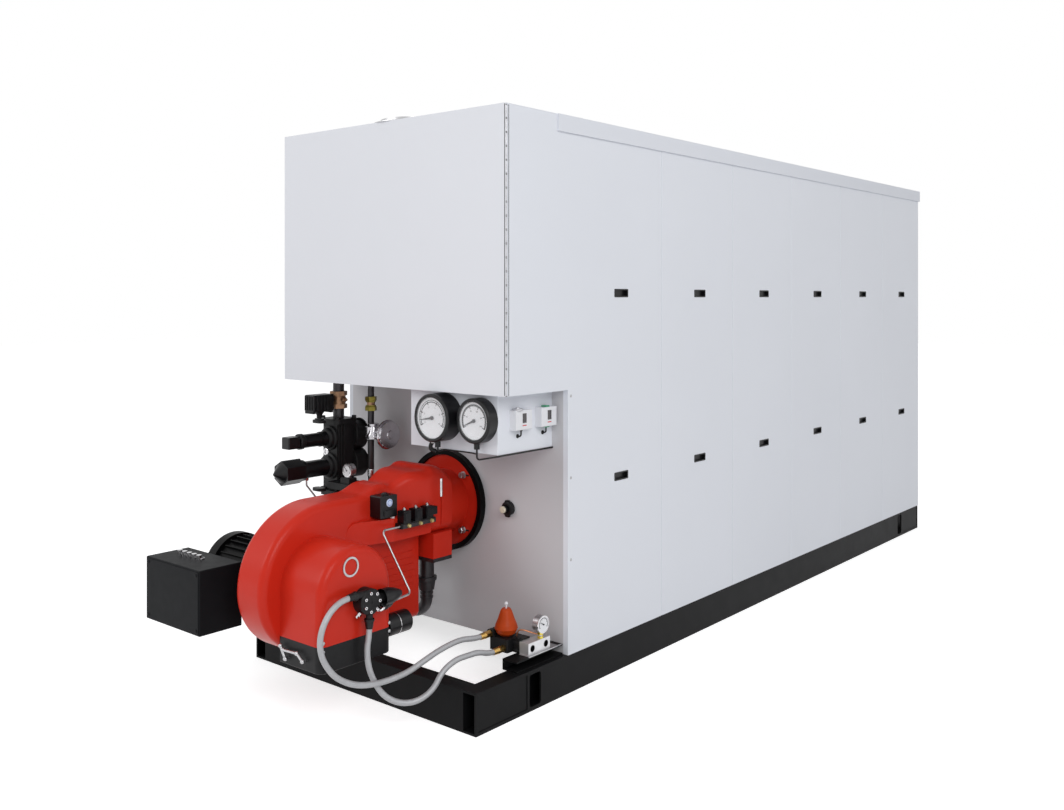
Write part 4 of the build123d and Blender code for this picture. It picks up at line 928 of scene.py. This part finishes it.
# %% Sight port
PORT_X, PORT_Z = 341, 678
port_bits = bmesh.new()
slab(port_bits, at(PORT_X, 506, PORT_Z, FRONT), oblong(26, 68, 6), 0, 5)
turned(port_bits, at(PORT_X, 506, PORT_Z, FRONT),
       [(28, 0), (30, 3), (28, 8), (22, 10), (16, 10), (14, 6)], 36)
piece("sight_port_bracket", port_bits, cast_black)
turned_piece("sight_port_knob", at(PORT_X, 480, PORT_Z, FRONT),
             [(12.4, 0), (14, 3), (14, 9), (11, 12), (0, 13)], 28, cream)

# %% [markdown]
# Folded sheet and cast boxes never have knife edges, and a thin line of light along an edge
# tells the eye so. A bump could fake that line, but only a bevel changes the outline too. As a
# modifier it leaves the CAD mesh as it is, and works inward, so each node keeps its size.

# %% Soft edges on the boxy nodes
EDGE_LIMIT = math.radians(50)
EDGE_WIDTHS = {
    1.2: "front_door gauge_box cabinet_roof cabinet_floor roof_cap rear_panels",
    2.0: "side_beam_right side_beam_left cross_beams oil_bracket",
    2.5: "right_front_panel left_front_panel right_panels left_panels",
    1.0: "oil_manifold filter_head valve_drive valve_actuators double_gas_valve nozzle_valves",
}
for width, names in EDGE_WIDTHS.items():
    for name in names.split():
        soft = nodes[name].modifiers.new("soft_edge", "BEVEL")
        soft.width = width / 1000
        soft.segments = 2
        soft.limit_method = "ANGLE"
        soft.angle_limit = EDGE_LIMIT
print("soft edges on", sum(len(names.split()) for names in EDGE_WIDTHS.values()), "nodes")

# %% [markdown]
# The background is plain white. More light would whiten it, but burn the casing out. So the sky
# stays soft, and only rays that come from the camera, a mirror or glass see it at full white.
# The Light Path node tells those rays apart.

# %% Sky
SKY_STRENGTH, WHITE = 0.5, 1.0


def seen_directly(tree):
    """1 for rays from the camera, a mirror or glass, and 0 for rays that light the object."""
    link = tree.links.new
    path = tree.nodes.new("ShaderNodeLightPath")
    total = tree.nodes.new("ShaderNodeMath")
    total.operation = "ADD"
    link(path.outputs["Is Camera Ray"], total.inputs[0])
    link(path.outputs["Is Glossy Ray"], total.inputs[1])
    capped = tree.nodes.new("ShaderNodeMath")
    capped.operation = "ADD"
    capped.use_clamp = True
    link(total.outputs[0], capped.inputs[0])
    link(path.outputs["Is Transmission Ray"], capped.inputs[1])
    return capped.outputs[0]


world = bpy.data.worlds.new("sky")
world.use_nodes = True
bpy.context.scene.world = world
sky = world.node_tree.nodes["Background"]
sky.inputs["Color"].default_value = (1, 1, 1, 1)
sky_level = world.node_tree.nodes.new("ShaderNodeMapRange")
sky_level.inputs["To Min"].default_value = SKY_STRENGTH
sky_level.inputs["To Max"].default_value = WHITE
world.node_tree.links.new(seen_directly(world.node_tree), sky_level.inputs["Value"])
world.node_tree.links.new(sky_level.outputs["Result"], sky.inputs["Strength"])
print("sky lights at", SKY_STRENGTH, "and is seen at", WHITE)

# %% [markdown]
# The floor is one pale sheet. The lamps alone would render it grey, so it also glows a little,
# again only where it is seen directly. The glow lights nothing, and the boiler's shadow stays.

# %% Floor
FLOOR_HALF = 30.0
FLOOR_GLOW = 0.66
CHALK = (0.82, 0.82, 0.83, 1)
floor_paint = bpy.data.materials.new("studio_floor")
floor_paint.use_nodes = True
tree = floor_paint.node_tree
link = tree.links.new
tree.nodes.remove(tree.nodes["Principled BSDF"])
chalk = tree.nodes.new("ShaderNodeBsdfDiffuse")
chalk.inputs["Color"].default_value = CHALK
glow = tree.nodes.new("ShaderNodeEmission")
glow_level = tree.nodes.new("ShaderNodeMath")
glow_level.operation = "MULTIPLY"
glow_level.inputs[1].default_value = FLOOR_GLOW
link(seen_directly(tree), glow_level.inputs[0])
link(glow_level.outputs[0], glow.inputs["Strength"])
both = tree.nodes.new("ShaderNodeAddShader")
link(chalk.outputs[0], both.inputs[0])
link(glow.outputs[0], both.inputs[1])
link(both.outputs[0], tree.nodes["Material Output"].inputs["Surface"])

floor_mesh = bpy.data.meshes.new("floor")
corners = [(x * FLOOR_HALF, y * FLOOR_HALF, 0) for x, y in ((-1, -1), (1, -1), (1, 1), (-1, 1))]
floor_mesh.from_pydata(corners, [], [(0, 1, 2, 3)])
floor_mesh.materials.append(floor_paint)
floor = bpy.data.objects.new("floor", floor_mesh)
scene_objects.link(floor)
print("floor", 2 * FLOOR_HALF, "m wide")

# %% [markdown]
# Three broad lamps light the boiler: the key from the right, a weaker one from the front left,
# and a faint one at the rear of the long side. A small lamp would be harsher than the picture's
# soft shadows. The Standard view transform shows colours as they are written, which keeps the
# white casing just under pure white.

# %% Lamps
LAMP_SIZE = 4.0
LAMPS = {
    "key_softbox": ((6.5, -5.5, 5.0), (0.6, -0.5, 1.0), 245),
    "fill_softbox": ((-4.0, -8.0, 4.5), (0.0, -1.8, 1.0), 165),
    "rear_softbox": ((8.0, 3.5, 5.0), (0.6, 1.2, 1.0), 48),
}
for name, (place, aim, watts) in LAMPS.items():
    data = bpy.data.lights.new(name, "AREA")
    data.size = LAMP_SIZE
    data.energy = watts
    lamp = bpy.data.objects.new(name, data)
    lamp.location = place
    lamp.rotation_euler = (Vector(aim) - Vector(place)).to_track_quat("-Z", "Y").to_euler()
    scene_objects.link(lamp)
bpy.context.scene.view_settings.view_transform = "Standard"
print("lamps", len(bpy.data.lights))
